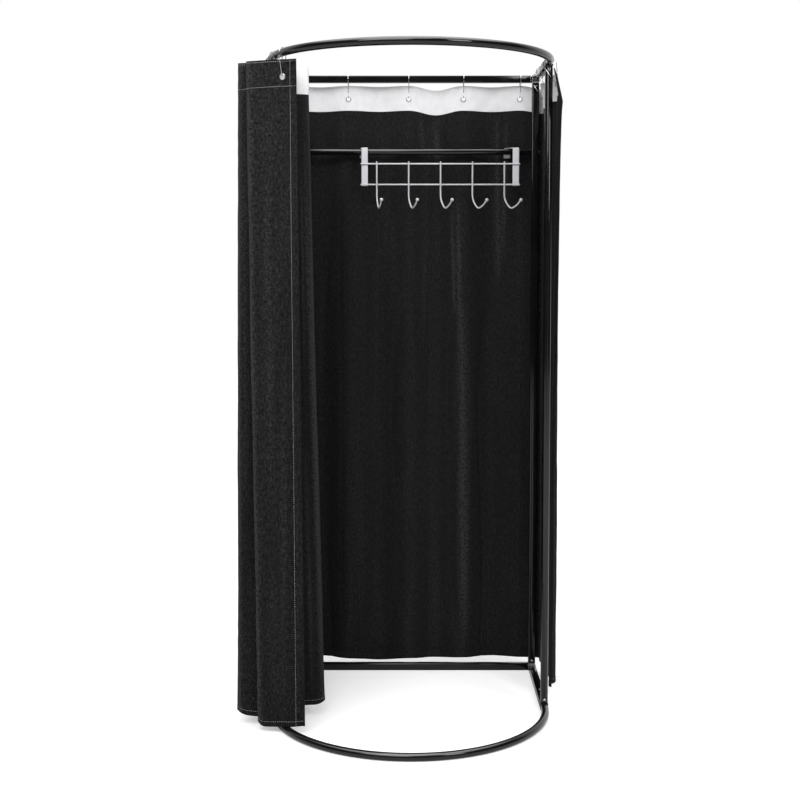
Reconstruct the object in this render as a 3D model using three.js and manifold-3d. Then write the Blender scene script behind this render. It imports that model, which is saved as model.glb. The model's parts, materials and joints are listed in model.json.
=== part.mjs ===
// Portable fitting room: a D-shaped steel tube frame with a half-round front, a curtain on wire hooks,
// a hanging bar across the rear uprights and a rack of five coat hooks hung on the bar.
// Units are millimetres, +Z is up and the open, half-round front faces -Y.
import * as THREE from 'three';
import { mergeVertices } from 'three/addons/utils/BufferGeometryUtils.js';
import Module from 'manifold-3d';

const wasm = await Module();
wasm.setup();

// Frame, outside to outside
const frameWidth = 914.4;
const frameDepth = 914.4;
const frameHeight = 2133.6;
const tubeSize = 25.4;
const tubeWall = 1.5;
const tubeCorner = 3;

// Clearances between pieces that touch or slide into each other
const seatGap = 0.3;
const slipGap = 0.35;
const cutOverrun = 3;

// Joints of the frame: swaged arc ends, welded stubs, end plugs, the slot in each round upright's ends
const arcStubLength = 160;
const arcStubCollar = 12;
const arcScrewSetback = 140;
const uprightStubHeight = 60;
const uprightScrewRise = 10.5;
const plugDepth = 14;
const slotWidth = 1.6;
const slotLength = 45;
const slotSetback = 4;

// Hanging bar and how far it lies below the frame's top
const barSize = 22.2;
const barDrop = 265.6;

// Screws and bolts
const screwSize = 5;
const screwLength = 9;
const screwHeadSize = 9;
const screwHeadHeight = 2.6;
const boltSize = 6;
const boltHeadSize = 11;
const boltHeadHeight = 3.4;
const boltReach = 11;
const headCrownShare = 0.62;

// Coat hook rack
const rackRightInset = 69.5;
const rackSpan = 532.7;
const strapWidth = 22;
const strapThickness = 2;
const strapDepth = 40;
const strapForward = 4;
const strapBackDrop = 34;
const strapLeans = [10, 35];
const strapCurl = 200;
const rackWireSize = 5.5;
const wireOverhang = 4;
const upperWireDrop = 44;
const rackWireSpacing = 72.5;
const coatHookReach = 66;
const coatHookDrop = 82.5;
const coatHookTipRise = 27;
const coatHookBall = 12;
const coatHookLeftInset = 42.7;
const coatHookRightInset = 41.2;
const coatHookTurns = [15, 27, 36, 47, 58];
const coatHookReachShares = [0, 0, 0.07, 0.4, 0.75, 1];
const coatHookRiseShares = [0.36, 0.3, 0.16, 0, 0.06, 0.175];

// Curtain cloth, its white header tape and its eyelets
const clothTopDrop = 33.6;
const clothBottom = 38;
const clothThickness = 1.6;
const headerHeight = 85;
const headerThickness = 0.8;
const eyeletSize = 15;
const eyeletDrop = 49;
const eyeletCutDepth = 12;
const eyeletSlack = 2.5;

// Wire curtain hooks
const hookWire = 2.4;
const hookLoop = 21.5;
const hookEye = 6;
const hookLength = 63;
const hookClearance = 0.9;
const hookTurn = 37;
const hookStartShare = 0.34;
const hookEndShare = 0.1;

// How far the surround curtain hangs outside the rails, at its hooks and between them
const nearTop = 14;
const nearHeader = 26;
const nearHem = 30;
const farTop = 32;
const farHeader = 46;
const farHem = 62;
const cornerOffset = 30;
const edgeOffsetTop = 17;
const edgeOffsetHem = 36;
const rightHookShares = [-0.0315, 0.44, 0.9];
const rearHookShares = [0.88, 0.43, -0.005, -0.485, -0.94];
const leftHookShares = [0.9, 0.44];
const rightEdgeShare = -0.135;
const leftEndShare = 0.03;
const hemDrawShare = 0.37;

// Folds of the drawn-back front curtain. Each row is a place along the bunch, how far the cloth stands
// out from the rail there at the top and at the hem, and how wide the fold's tip is. A hook holds the
// cloth wherever both distances are 0.
const bunchRun = 225;
const bunchLeadIn = 8;
const foldReach = 100;
const foldTipHalf = 6;
const bunchFoldShares = [
  [0.035, 0.95, 1.0, 1],
  [0.125, 0, 0, 0],
  [0.18, -1.15, -1.6, 1],
  [0.267, 0, 0, 0],
  [0.333, 0.88, 0.95, 1],
  [0.391, 0, 0, 0],
  [0.444, -0.7, -0.85, 1],
  [0.502, 0, 0, 0],
  [0.56, 1.07, 1.25, 1],
  [0.676, 0, 0, 1.6],
  [0.844, 0.99, 0.78, 1],
  [0.942, 0, 0, 0],
];
const freeEdgeShares = [1.0, -0.35, -0.6];

// How finely round and wavy shapes are cut
const tubeSides = 12;
const arcSteps = 26;
const boreSides = 8;
const eyeletSides = 12;
const cornerSteps = 2;
const screwSides = 8;
const wireSides = 6;
const hookSteps = 20;
const rackWireSides = 10;
const coatHookSides = 8;
const coatHookSteps = 12;
const ballSides = 8;
const ballRings = 6;
const spanSteps = 3;
const clothLevelShares = [0.4, 1];
const mergeDistance = 0.001;

// Places worked out from the sizes above
const arcRadius = (frameWidth - tubeSize) / 2;
const tubeHalf = tubeSize / 2;
const rearY = frameDepth - arcRadius - tubeSize;
const frontUprightY = tubeHalf;
const lowRailZ = tubeHalf;
const highRailZ = frameHeight - tubeHalf;
const boreSize = tubeSize - 2 * tubeWall;
const stubSize = boreSize - 2 * slipGap;
const barHeight = frameHeight - barDrop;
const rackRight = arcRadius - rackRightInset;
const rackLeft = rackRight - rackSpan;
const firstCoatHookX = rackLeft + coatHookLeftInset;
const coatHookRun = rackSpan - coatHookLeftInset - coatHookRightInset;
const coatHookSpacing = coatHookRun / (coatHookTurns.length - 1);
const upperWireHeight = barHeight - upperWireDrop;
const lowerWireHeight = upperWireHeight - rackWireSpacing;
const coatHookBottom = lowerWireHeight - coatHookDrop;
const coatHookTip = coatHookBottom + coatHookTipRise;
const clothTop = frameHeight - clothTopDrop;
const clothLength = clothTop - clothBottom;
const headerShare = headerHeight / clothLength;
const eyeletFlat = eyeletSize / 2 * Math.cos(Math.PI / eyeletSides);
const X_AXIS = new THREE.Vector3(1, 0, 0);
const Y_AXIS = new THREE.Vector3(0, 1, 0);
const Z_AXIS = new THREE.Vector3(0, 0, 1);

// Materials
const glossBlack = new THREE.MeshStandardMaterial({ color: 0x0c0c0d, roughness: 0.22, metalness: 0.35 });
const blackScrew = new THREE.MeshStandardMaterial({ color: 0x3a3a3c, roughness: 0.35, metalness: 0.9 });
const whiteCoat = new THREE.MeshStandardMaterial({ color: 0xc9c9cd, roughness: 0.4, metalness: 0.3 });
const brightWire = new THREE.MeshStandardMaterial({ color: 0xb9b9bd, roughness: 0.25, metalness: 1 });
const blackCloth = new THREE.MeshStandardMaterial({ color: 0x1b1b1c, roughness: 0.95, metalness: 0 });
const whiteTape = new THREE.MeshStandardMaterial({ color: 0xe2e2e4, roughness: 0.9, metalness: 0 });

const room = new THREE.Group();

function addPiece(name, geometry, material) {
  const mesh = new THREE.Mesh(geometry, material);
  mesh.name = name;
  room.add(mesh);
  return mesh;
}

// Solids for cutting and joining

function solidOf(geometry, place = new THREE.Matrix4()) {
  const bare = geometry.clone();
  bare.deleteAttribute('normal');
  bare.deleteAttribute('uv');
  bare.applyMatrix4(place);
  const merged = mergeVertices(bare, mergeDistance);
  const corners = merged.index.array;
  const kept = [];
  for (let i = 0; i < corners.length; i += 3) {
    const [a, b, c] = [corners[i], corners[i + 1], corners[i + 2]];
    if (a !== b && b !== c && c !== a) {
      kept.push(a, b, c);
    }
  }
  const vertProperties = new Float32Array(merged.attributes.position.array);
  const mesh = new wasm.Mesh({ numProp: 3, vertProperties, triVerts: new Uint32Array(kept) });
  return new wasm.Manifold(mesh);
}

function geometryOf(solid) {
  const mesh = solid.getMesh();
  const geometry = new THREE.BufferGeometry();
  geometry.setAttribute('position', new THREE.BufferAttribute(new Float32Array(mesh.vertProperties), 3));
  geometry.setIndex(new THREE.BufferAttribute(new Uint32Array(mesh.triVerts), 1));
  geometry.computeVertexNormals();
  return geometry;
}

function placed(position, quaternion = new THREE.Quaternion()) {
  return new THREE.Matrix4().compose(position, quaternion, new THREE.Vector3(1, 1, 1));
}

function pointing(from, direction) {
  return new THREE.Quaternion().setFromUnitVectors(from, direction.clone().normalize());
}

function rod(size, start, end, sides = tubeSides) {
  const along = end.clone().sub(start);
  const geometry = new THREE.CylinderGeometry(size / 2, size / 2, along.length(), sides);
  const middle = start.clone().add(end).multiplyScalar(1 / 2);
  return solidOf(geometry, placed(middle, pointing(Y_AXIS, along)));
}

function drilled(solid, size, start, end, sides = screwSides) {
  return solid.subtract(rod(size, start, end, sides));
}

// Tube sections

function circleOutline(size) {
  const outline = new THREE.Shape();
  outline.absarc(0, 0, size / 2, 0, 2 * Math.PI, false);
  return outline;
}

function squareOutline(size, corner) {
  const half = size / 2;
  const flat = half - corner;
  const outline = new THREE.Shape();
  outline.moveTo(-flat, -half);
  outline.lineTo(flat, -half);
  outline.absarc(flat, -flat, corner, -Math.PI / 2, 0, false);
  outline.absarc(flat, flat, corner, 0, Math.PI / 2, false);
  outline.absarc(-flat, flat, corner, Math.PI / 2, Math.PI, false);
  outline.absarc(-flat, -flat, corner, Math.PI, Math.PI * 1.5, false);
  return outline;
}

function extruded(outline, start, direction, length, curveSegments) {
  const settings = { depth: length, bevelEnabled: false, curveSegments };
  const geometry = new THREE.ExtrudeGeometry(outline, settings);
  return solidOf(geometry, placed(start, pointing(Z_AXIS, direction)));
}

function squareTube(start, direction, length) {
  const outer = squareOutline(tubeSize, tubeCorner);
  outer.holes.push(squareOutline(boreSize, tubeCorner - tubeWall));
  return extruded(outer, start, direction, length, cornerSteps);
}

function roundTube(size, wall, start, direction, length) {
  const outer = circleOutline(size);
  outer.holes.push(circleOutline(size - 2 * wall));
  return extruded(outer, start, direction, length, tubeSides / 2);
}

// Frame

class HalfRound extends THREE.Curve {
  constructor(radius, height) {
    super();
    this.radius = radius;
    this.height = height;
  }

  getPoint(share, target = new THREE.Vector3()) {
    const angle = Math.PI * share;
    return target.set(-this.radius * Math.cos(angle), -this.radius * Math.sin(angle), this.height);
  }
}

function arcStub(side, height) {
  const collar = (tubeSize + boreSize) / 4;
  const stub = stubSize / 2;
  const bore = stub - tubeWall;
  const profile = [
    new THREE.Vector2(bore, -arcStubCollar),
    new THREE.Vector2(collar, -arcStubCollar),
    new THREE.Vector2(collar, 0),
    new THREE.Vector2(stub, 0),
    new THREE.Vector2(stub, arcStubLength),
    new THREE.Vector2(bore, arcStubLength),
    new THREE.Vector2(bore, -arcStubCollar),
  ];
  const geometry = new THREE.LatheGeometry(profile, tubeSides);
  return solidOf(geometry, placed(new THREE.Vector3(side * arcRadius, 0, height)));
}

function makeArc(name, height, inward) {
  const path = new HalfRound(arcRadius, height);
  const settings = { steps: arcSteps, extrudePath: path, curveSegments: tubeSides / 2 };
  const section = circleOutline(tubeSize);
  section.holes.push(new THREE.Path(circleOutline(boreSize).getPoints(boreSides / 2)));
  let arc = solidOf(new THREE.ExtrudeGeometry(section, settings));
  for (const side of [-1, 1]) {
    const seat = new THREE.Vector3(side * arcRadius, arcScrewSetback, height);
    const tip = seat.clone().addScaledVector(Z_AXIS, inward * tubeSize);
    arc = arc.add(arcStub(side, height));
    arc = drilled(arc, screwSize + 2 * slipGap, seat, tip);
  }
  addPiece(name, geometryOf(arc), glossBlack);
}

function uprightStub(x, y, railZ, inward) {
  const foot = new THREE.Vector3(x, y, railZ + inward * (tubeHalf - tubeWall / 2));
  const length = uprightStubHeight + tubeWall / 2;
  return roundTube(stubSize, tubeWall, foot, new THREE.Vector3(0, 0, inward), length);
}

function uprightScrewSeat(x, y, railZ, inward) {
  return new THREE.Vector3(x, y - tubeHalf, railZ + inward * (tubeHalf + uprightScrewRise));
}

function makeSideRail(name, side, railZ, inward) {
  const x = side * arcRadius;
  const start = new THREE.Vector3(x, seatGap, railZ);
  let rail = squareTube(start, Y_AXIS, rearY + tubeHalf - seatGap);
  for (const y of [frontUprightY, rearY]) {
    rail = rail.add(uprightStub(x, y, railZ, inward));
    const seat = uprightScrewSeat(x, y, railZ, inward);
    const back = seat.clone().addScaledVector(Y_AXIS, tubeHalf);
    rail = drilled(rail, screwSize + 2 * slipGap, seat, back);
  }
  const arcSeat = new THREE.Vector3(x, arcScrewSetback, railZ);
  const arcTip = arcSeat.clone().addScaledVector(Z_AXIS, inward * tubeSize);
  rail = drilled(rail, screwSize + 2 * slipGap, arcSeat, arcTip);
  const boltStart = new THREE.Vector3(x - tubeSize, rearY, railZ);
  const boltEnd = new THREE.Vector3(x + tubeSize, rearY, railZ);
  rail = drilled(rail, boltSize + 2 * slipGap, boltStart, boltEnd);
  addPiece(name, geometryOf(rail), glossBlack);
}

function plugged(outer, core, halfLength, y, z) {
  const end = new THREE.Vector3(halfLength + cutOverrun, y, z);
  const start = new THREE.Vector3(-halfLength - cutOverrun, y, z);
  return drilled(outer.subtract(core), boltSize + 2 * slipGap, start, end);
}

function crossTube(name, sectionOf, curveSegments, size, z) {
  const halfLength = arcRadius - tubeHalf - seatGap;
  const outerStart = new THREE.Vector3(-halfLength, rearY, z);
  const coreStart = new THREE.Vector3(-halfLength + plugDepth, rearY, z);
  const outer = extruded(sectionOf(size), outerStart, X_AXIS, 2 * halfLength, curveSegments);
  const coreLength = 2 * (halfLength - plugDepth);
  const core = extruded(sectionOf(size - 2 * tubeWall), coreStart, X_AXIS, coreLength, curveSegments);
  addPiece(name, geometryOf(plugged(outer, core, halfLength, rearY, z)), glossBlack);
}

function slotCut(x, y, railZ, inward) {
  const start = tubeHalf + uprightScrewRise + slotSetback;
  const box = new THREE.BoxGeometry(slotWidth, tubeHalf, slotLength);
  const middle = new THREE.Vector3(x, y - tubeHalf, railZ + inward * (start + slotLength / 2));
  return solidOf(box, placed(middle));
}

function makeUpright(name, side, y, isRound) {
  const x = side * arcRadius;
  const foot = new THREE.Vector3(x, y, tubeSize + seatGap);
  const length = frameHeight - 2 * (tubeSize + seatGap);
  let upright = squareTube(foot, Z_AXIS, length);
  if (isRound) {
    upright = roundTube(tubeSize, tubeWall, foot, Z_AXIS, length);
  }
  for (const [railZ, inward] of [[lowRailZ, 1], [highRailZ, -1]]) {
    const seat = uprightScrewSeat(x, y, railZ, inward);
    const front = seat.clone().addScaledVector(Y_AXIS, -cutOverrun);
    const back = seat.clone().addScaledVector(Y_AXIS, tubeHalf);
    upright = drilled(upright, screwSize + 2 * slipGap, front, back);
    if (isRound) {
      upright = upright.subtract(slotCut(x, y, railZ, inward));
    }
  }
  if (!isRound) {
    const start = new THREE.Vector3(x - tubeSize, y, barHeight);
    const end = new THREE.Vector3(x + tubeSize, y, barHeight);
    upright = drilled(upright, boltSize + 2 * slipGap, start, end);
  }
  addPiece(name, geometryOf(upright), glossBlack);
}

// Screws and bolts: a shank with a low crowned head, seated on a face and pointing into it

function fastener(name, seat, outward, shankSize, shankLength, headSize, headHeight) {
  const profile = [
    new THREE.Vector2(0, -shankLength),
    new THREE.Vector2(shankSize / 2, -shankLength),
    new THREE.Vector2(shankSize / 2, 0),
    new THREE.Vector2(headSize / 2, 0),
    new THREE.Vector2(headSize / 2, headHeight * (1 - headCrownShare)),
    new THREE.Vector2(headSize * headCrownShare / 2, headHeight),
    new THREE.Vector2(0, headHeight),
  ];
  const solid = solidOf(new THREE.LatheGeometry(profile, screwSides));
  const mesh = addPiece(name, geometryOf(solid), blackScrew);
  mesh.position.copy(seat).addScaledVector(outward, seatGap);
  mesh.quaternion.copy(pointing(Y_AXIS, outward));
}

function addScrew(name, seat, outward) {
  fastener(name, seat, outward, screwSize, screwLength, screwHeadSize, screwHeadHeight);
}

function addBolt(name, seat, outward) {
  fastener(name, seat, outward, boltSize, tubeSize + boltReach, boltHeadSize, boltHeadHeight);
}

function makeFrame() {
  const levels = [['bottom', lowRailZ, 1], ['top', highRailZ, -1]];
  const sides = [['left', -1], ['right', 1]];
  for (const [level, railZ, inward] of levels) {
    makeArc(`${level}_front_arc`, railZ, inward);
    const section = (size) => squareOutline(size, tubeCorner - tubeWall);
    crossTube(`${level}_rear_rail`, section, cornerSteps, tubeSize, railZ);
    for (const [hand, side] of sides) {
      makeSideRail(`${level}_${hand}_rail`, side, railZ, inward);
      const x = side * arcRadius;
      const outward = new THREE.Vector3(side, 0, 0);
      const boltSeat = new THREE.Vector3(x + side * tubeHalf, rearY, railZ);
      addBolt(`${level}_${hand}_rail_bolt`, boltSeat, outward);
      const up = new THREE.Vector3(0, 0, inward);
      const arcSeat = new THREE.Vector3(x, arcScrewSetback, railZ + inward * tubeHalf);
      addScrew(`${level}_${hand}_arc_screw`, arcSeat, up);
      for (const [place, y] of [['front', frontUprightY], ['rear', rearY]]) {
        const seat = uprightScrewSeat(x, y, railZ, inward);
        addScrew(`${level}_${hand}_${place}_upright_screw`, seat, Y_AXIS.clone().negate());
      }
    }
  }
  for (const [hand, side] of sides) {
    makeUpright(`${hand}_front_upright`, side, frontUprightY, true);
    makeUpright(`${hand}_rear_upright`, side, rearY, false);
    const seat = new THREE.Vector3(side * (arcRadius + tubeHalf), rearY, barHeight);
    addBolt(`${hand}_bar_bolt`, seat, new THREE.Vector3(side, 0, 0));
  }
  crossTube('hanging_bar', circleOutline, tubeSides / 2, barSize, barHeight);
}

// Coat hook rack, hung over the bar by two bent straps

const strapTop = barHeight + barSize / 2 + seatGap + strapThickness;
const strapFaceY = rearY - strapForward - strapDepth / 2;
const rackWireY = strapFaceY - strapThickness - seatGap - rackWireSize / 2;

function strapOutline() {
  const inner = rackWireSize / 2 + seatGap;
  const outer = inner + strapThickness;
  const turn = -strapCurl * Math.PI / 180;
  const back = strapFaceY + strapDepth;
  const outline = new THREE.Shape();
  outline.absarc(rackWireY, lowerWireHeight, outer, 0, turn, true);
  outline.absarc(rackWireY, lowerWireHeight, inner, turn, 0, false);
  outline.lineTo(rackWireY + inner, strapTop);
  outline.lineTo(back + strapThickness, strapTop);
  outline.lineTo(back + strapThickness, strapTop - strapBackDrop);
  outline.lineTo(back, strapTop - strapBackDrop);
  outline.lineTo(back, strapTop - strapThickness);
  outline.lineTo(rackWireY + outer, strapTop - strapThickness);
  return outline;
}

function makeStrap(name, middleX, lean) {
  const settings = { depth: strapWidth, bevelEnabled: false, curveSegments: tubeSides / 2 };
  const geometry = new THREE.ExtrudeGeometry(strapOutline(), settings);
  geometry.applyMatrix4(new THREE.Matrix4().makeBasis(Y_AXIS, Z_AXIS, X_AXIS));
  geometry.translate(middleX - strapWidth / 2, 0, 0);
  const slope = Math.tan(lean * Math.PI / 180);
  const places = geometry.attributes.position;
  for (let i = 0; i < places.count; i += 1) {
    const behind = Math.max(places.getY(i) - strapFaceY, 0);
    places.setX(i, places.getX(i) - slope * behind);
  }
  addPiece(name, geometryOf(solidOf(geometry)), whiteCoat);
}

function makeRackWire(name, height) {
  const overhang = strapWidth / 2 + wireOverhang;
  const start = new THREE.Vector3(rackLeft - overhang, rackWireY, height);
  const end = new THREE.Vector3(rackRight + overhang, rackWireY, height);
  addPiece(name, geometryOf(rod(rackWireSize, start, end, rackWireSides)), whiteCoat);
}

function makeCoatHook(name, x, turn) {
  const y = rackWireY - rackWireSize - seatGap;
  const angle = turn * Math.PI / 180;
  const shankTop = upperWireHeight + rackWireSize;
  const shankDrop = shankTop - coatHookBottom;
  const points = coatHookReachShares.map((reachShare, i) => {
    const reach = reachShare * coatHookReach;
    const z = coatHookBottom + coatHookRiseShares[i] * shankDrop;
    return new THREE.Vector3(x + reach * Math.sin(angle), y - reach * Math.cos(angle), z);
  });
  const bend = new THREE.CatmullRomCurve3(points);
  const shank = new THREE.LineCurve3(new THREE.Vector3(x, y, shankTop), points[0]);
  const path = new THREE.CurvePath();
  path.add(shank);
  path.add(bend);
  const section = circleOutline(rackWireSize);
  const settings = { steps: coatHookSteps, extrudePath: path, curveSegments: coatHookSides / 2 };
  const wire = solidOf(new THREE.ExtrudeGeometry(section, settings));
  const tip = points[points.length - 1].clone().setZ(coatHookTip);
  const ball = new THREE.SphereGeometry(coatHookBall / 2, ballSides, ballRings);
  addPiece(name, geometryOf(wire.add(solidOf(ball, placed(tip)))), whiteCoat);
}

function makeRack() {
  makeStrap('rack_left_strap', rackLeft, strapLeans[0]);
  makeStrap('rack_right_strap', rackRight, strapLeans[1]);
  makeRackWire('rack_upper_wire', upperWireHeight);
  makeRackWire('rack_lower_wire', lowerWireHeight);
  coatHookTurns.forEach((turn, i) => {
    makeCoatHook(`coat_hook_${i + 1}`, firstCoatHookX + i * coatHookSpacing, turn);
  });
}

// Curtain hooks: a pear-shaped open wire over the rail, its small end through an eyelet

class HookPath extends THREE.Curve {
  constructor() {
    super();
    this.span = hookLength - hookEye;
    this.slope = Math.asin((hookLoop - hookEye) / this.span);
    this.leg = this.span * Math.cos(this.slope);
    const loopTurn = Math.PI + 2 * this.slope;
    const eyeTurn = Math.PI - 2 * this.slope;
    this.lengths = [
      this.leg * (1 - hookStartShare),
      hookLoop * loopTurn,
      this.leg,
      hookEye * eyeTurn,
      this.leg * hookEndShare,
    ];
    this.total = this.lengths.reduce((sum, length) => sum + length, 0);
  }

  onLeg(side, down) {
    const sideways = new THREE.Vector2(side * Math.cos(this.slope), -Math.sin(this.slope));
    const top = sideways.clone().multiplyScalar(hookLoop);
    const foot = sideways.clone().multiplyScalar(hookEye);
    foot.y -= this.span;
    return top.lerp(foot, down);
  }

  flatPoint(distance) {
    let [part, left] = [0, distance];
    while (part < this.lengths.length - 1 && left > this.lengths[part]) {
      left -= this.lengths[part];
      part += 1;
    }
    const share = left / this.lengths[part];
    if (part === 0) {
      return this.onLeg(-1, (1 - hookStartShare) * (1 - share));
    }
    if (part === 1) {
      const angle = Math.PI + this.slope - share * (Math.PI + 2 * this.slope);
      return new THREE.Vector2(Math.cos(angle), Math.sin(angle)).multiplyScalar(hookLoop);
    }
    if (part === 2) {
      return this.onLeg(1, share);
    }
    if (part === 3) {
      const angle = -this.slope - share * (Math.PI - 2 * this.slope);
      const point = new THREE.Vector2(Math.cos(angle), Math.sin(angle)).multiplyScalar(hookEye);
      point.y -= this.span;
      return point;
    }
    return this.onLeg(-1, 1 - share * hookEndShare);
  }

  getPoint(share, target = new THREE.Vector3()) {
    const flat = this.flatPoint(share * this.total);
    return target.set(flat.x, flat.y, 0);
  }
}

const hookSettings = { steps: hookSteps, extrudePath: new HookPath(), curveSegments: wireSides / 2 };
const hookGeometry = new THREE.ExtrudeGeometry(circleOutline(hookWire), hookSettings);
const hookInner = hookLoop - hookWire / 2 - hookClearance;
const cornerMiddle = tubeHalf - tubeCorner;
const squareHookDrop = Math.sqrt((hookInner - tubeCorner) ** 2 - cornerMiddle ** 2) - cornerMiddle;
const roundHookDrop = hookInner - tubeHalf;

// The hook's place: on the rail at railPoint, its plane along outward, its eye that far outside
function hookPlace(railPoint, outward, eyeOut, isRound) {
  const tilt = Math.asin(eyeOut / hookLength);
  const across = outward.clone().multiplyScalar(Math.cos(tilt)).addScaledVector(Z_AXIS, Math.sin(tilt));
  const upward = outward.clone().multiplyScalar(-Math.sin(tilt)).addScaledVector(Z_AXIS, Math.cos(tilt));
  const drop = isRound ? roundHookDrop : squareHookDrop;
  const centre = new THREE.Vector3(railPoint.x, railPoint.y, highRailZ - drop);
  const wireZ = centre.z - hookLength * Math.cos(tilt);
  const eyeletZ = wireZ + hookWire / 2 + eyeletSlack - eyeletFlat;
  return { across, upward, centre, eyeletZ };
}

function addCurtainHook(name, place) {
  const sideways = place.across.clone().cross(place.upward);
  const basis = new THREE.Matrix4().makeBasis(place.across, place.upward, sideways);
  const mesh = addPiece(name, hookGeometry, brightWire);
  mesh.quaternion.setFromRotationMatrix(basis);
  mesh.position.copy(place.centre);
}

// Curtain cloth: a ribbon that follows a plan line, which changes from the top to the hem

function planCurve(points) {
  return new THREE.CatmullRomCurve3(points.map((point) => new THREE.Vector3(point.x, point.y, 0)));
}

function outwardAt(curve, share) {
  const along = curve.getTangent(share);
  return new THREE.Vector3(along.y, -along.x, 0).normalize();
}

function ribbonGeometry(pointsAt, dropShares, columns, offset, thickness) {
  const rows = dropShares.map((drop) => {
    const curve = planCurve(pointsAt(drop));
    const row = [];
    for (let i = 0; i <= columns; i += 1) {
      const middle = curve.getPoint(i / columns).setZ(clothTop - drop * clothLength);
      const outward = outwardAt(curve, i / columns);
      const outer = middle.clone().addScaledVector(outward, offset + thickness / 2);
      const inner = middle.clone().addScaledVector(outward, offset - thickness / 2);
      row.push({ outer, inner });
    }
    return row;
  });
  const corners = [];
  const quad = (a, b, c, d) => corners.push(a, b, c, a, c, d);
  for (let j = 0; j < rows.length - 1; j += 1) {
    for (let i = 0; i < columns; i += 1) {
      const [a, b, c, d] = [rows[j][i], rows[j][i + 1], rows[j + 1][i + 1], rows[j + 1][i]];
      quad(a.outer, d.outer, c.outer, b.outer);
      quad(a.inner, b.inner, c.inner, d.inner);
    }
    const [start, under] = [rows[j][0], rows[j + 1][0]];
    const [end, last] = [rows[j][columns], rows[j + 1][columns]];
    quad(start.outer, start.inner, under.inner, under.outer);
    quad(end.outer, last.outer, last.inner, end.inner);
  }
  const hem = rows[rows.length - 1];
  for (let i = 0; i < columns; i += 1) {
    quad(rows[0][i].outer, rows[0][i + 1].outer, rows[0][i + 1].inner, rows[0][i].inner);
    quad(hem[i].outer, hem[i].inner, hem[i + 1].inner, hem[i + 1].outer);
  }
  const geometry = new THREE.BufferGeometry().setFromPoints(corners);
  return geometry;
}

function makePanel(name, pointsAt, hooks, spans) {
  const columns = spans * spanSteps;
  const tapeOffset = -(clothThickness + headerThickness) / 2 - seatGap;
  const clothDrops = [0, headerShare, ...clothLevelShares];
  let cloth = solidOf(ribbonGeometry(pointsAt, clothDrops, columns, 0, clothThickness));
  let tape = solidOf(ribbonGeometry(pointsAt, [0, headerShare], columns, tapeOffset, headerThickness));
  const topCurve = planCurve(pointsAt(0));
  const seamCurve = planCurve(pointsAt(headerShare));
  for (const { span, place } of hooks) {
    const middle = clothMiddle(topCurve, seamCurve, span / spans, place.eyeletZ);
    const outward = outwardAt(seamCurve, span / spans);
    const start = middle.clone().addScaledVector(outward, -eyeletCutDepth / 2);
    const end = middle.clone().addScaledVector(outward, eyeletCutDepth / 2);
    cloth = drilled(cloth, eyeletSize, start, end, eyeletSides);
    tape = drilled(tape, eyeletSize, start, end, eyeletSides);
  }
  addPiece(`${name}_curtain`, geometryOf(cloth), blackCloth);
  addPiece(`${name}_header_tape`, geometryOf(tape), whiteTape);
}

// Surround curtain: round the right side, the rear and the left side of the frame

function blendDown(top, header, hem, drop) {
  if (drop <= headerShare) {
    return THREE.MathUtils.lerp(top, header, drop / headerShare);
  }
  return THREE.MathUtils.lerp(header, hem, (drop - headerShare) / (1 - headerShare));
}

function between(a, b) {
  return (a + b) / 2;
}

// Stations in order: side, place along the side, and whether a hook holds the cloth there
function surroundStations() {
  const stations = [{ side: 'right', along: rightEdgeShare * arcRadius, kind: 'edge' }];
  const addSide = (side, shares, reach) => {
    shares.forEach((share, i) => {
      if (i > 0) {
        stations.push({ side, along: between(share, shares[i - 1]) * reach, kind: 'far' });
      }
      stations.push({ side, along: share * reach, kind: 'near' });
    });
  };
  addSide('right', rightHookShares, rearY);
  stations.push({ side: 'right', along: rearY, kind: 'corner' });
  addSide('rear', rearHookShares, arcRadius);
  stations.push({ side: 'left', along: rearY, kind: 'corner' });
  addSide('left', leftHookShares, rearY);
  const lastShare = leftHookShares[leftHookShares.length - 1];
  stations.push({ side: 'left', along: between(lastShare, leftEndShare) * rearY, kind: 'far' });
  stations.push({ side: 'left', along: leftEndShare * rearY, kind: 'end' });
  return stations;
}

const stations = surroundStations();

function stationOffset(kind, drop) {
  if (kind === 'edge') {
    return blendDown(edgeOffsetTop, edgeOffsetHem, edgeOffsetHem, drop);
  }
  if (kind === 'corner') {
    return cornerOffset;
  }
  if (kind === 'far') {
    return blendDown(farTop, farHeader, farHem, drop);
  }
  if (kind === 'end') {
    return edgeOffsetHem;
  }
  return blendDown(nearTop, nearHeader, nearHem, drop);
}

function stationPoint(station, drop) {
  const offset = stationOffset(station.kind, drop);
  if (station.side === 'rear') {
    return new THREE.Vector2(station.along, rearY + offset);
  }
  const sign = station.side === 'right' ? 1 : -1;
  if (station.kind === 'corner') {
    return new THREE.Vector2(sign * (arcRadius + offset), rearY + offset);
  }
  const below = Math.max(drop - headerShare, 0) / (1 - headerShare);
  const drawn = sign > 0 ? hemDrawShare * Math.sqrt(below) : 0;
  const y = rearY + (station.along - rearY) * (1 - drawn);
  return new THREE.Vector2(sign * (arcRadius + offset), y);
}

function surroundPoints(drop) {
  return stations.map((station) => stationPoint(station, drop));
}

function surroundHook(station) {
  const eyeOut = THREE.MathUtils.lerp(nearTop, nearHeader, eyeletDrop / headerHeight);
  if (station.side === 'rear') {
    return hookPlace(new THREE.Vector2(station.along, rearY), Y_AXIS, eyeOut, false);
  }
  const sign = station.side === 'right' ? 1 : -1;
  const outward = new THREE.Vector3(sign, 0, 0);
  return hookPlace(new THREE.Vector2(sign * arcRadius, station.along), outward, eyeOut, station.along < 0);
}

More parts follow.
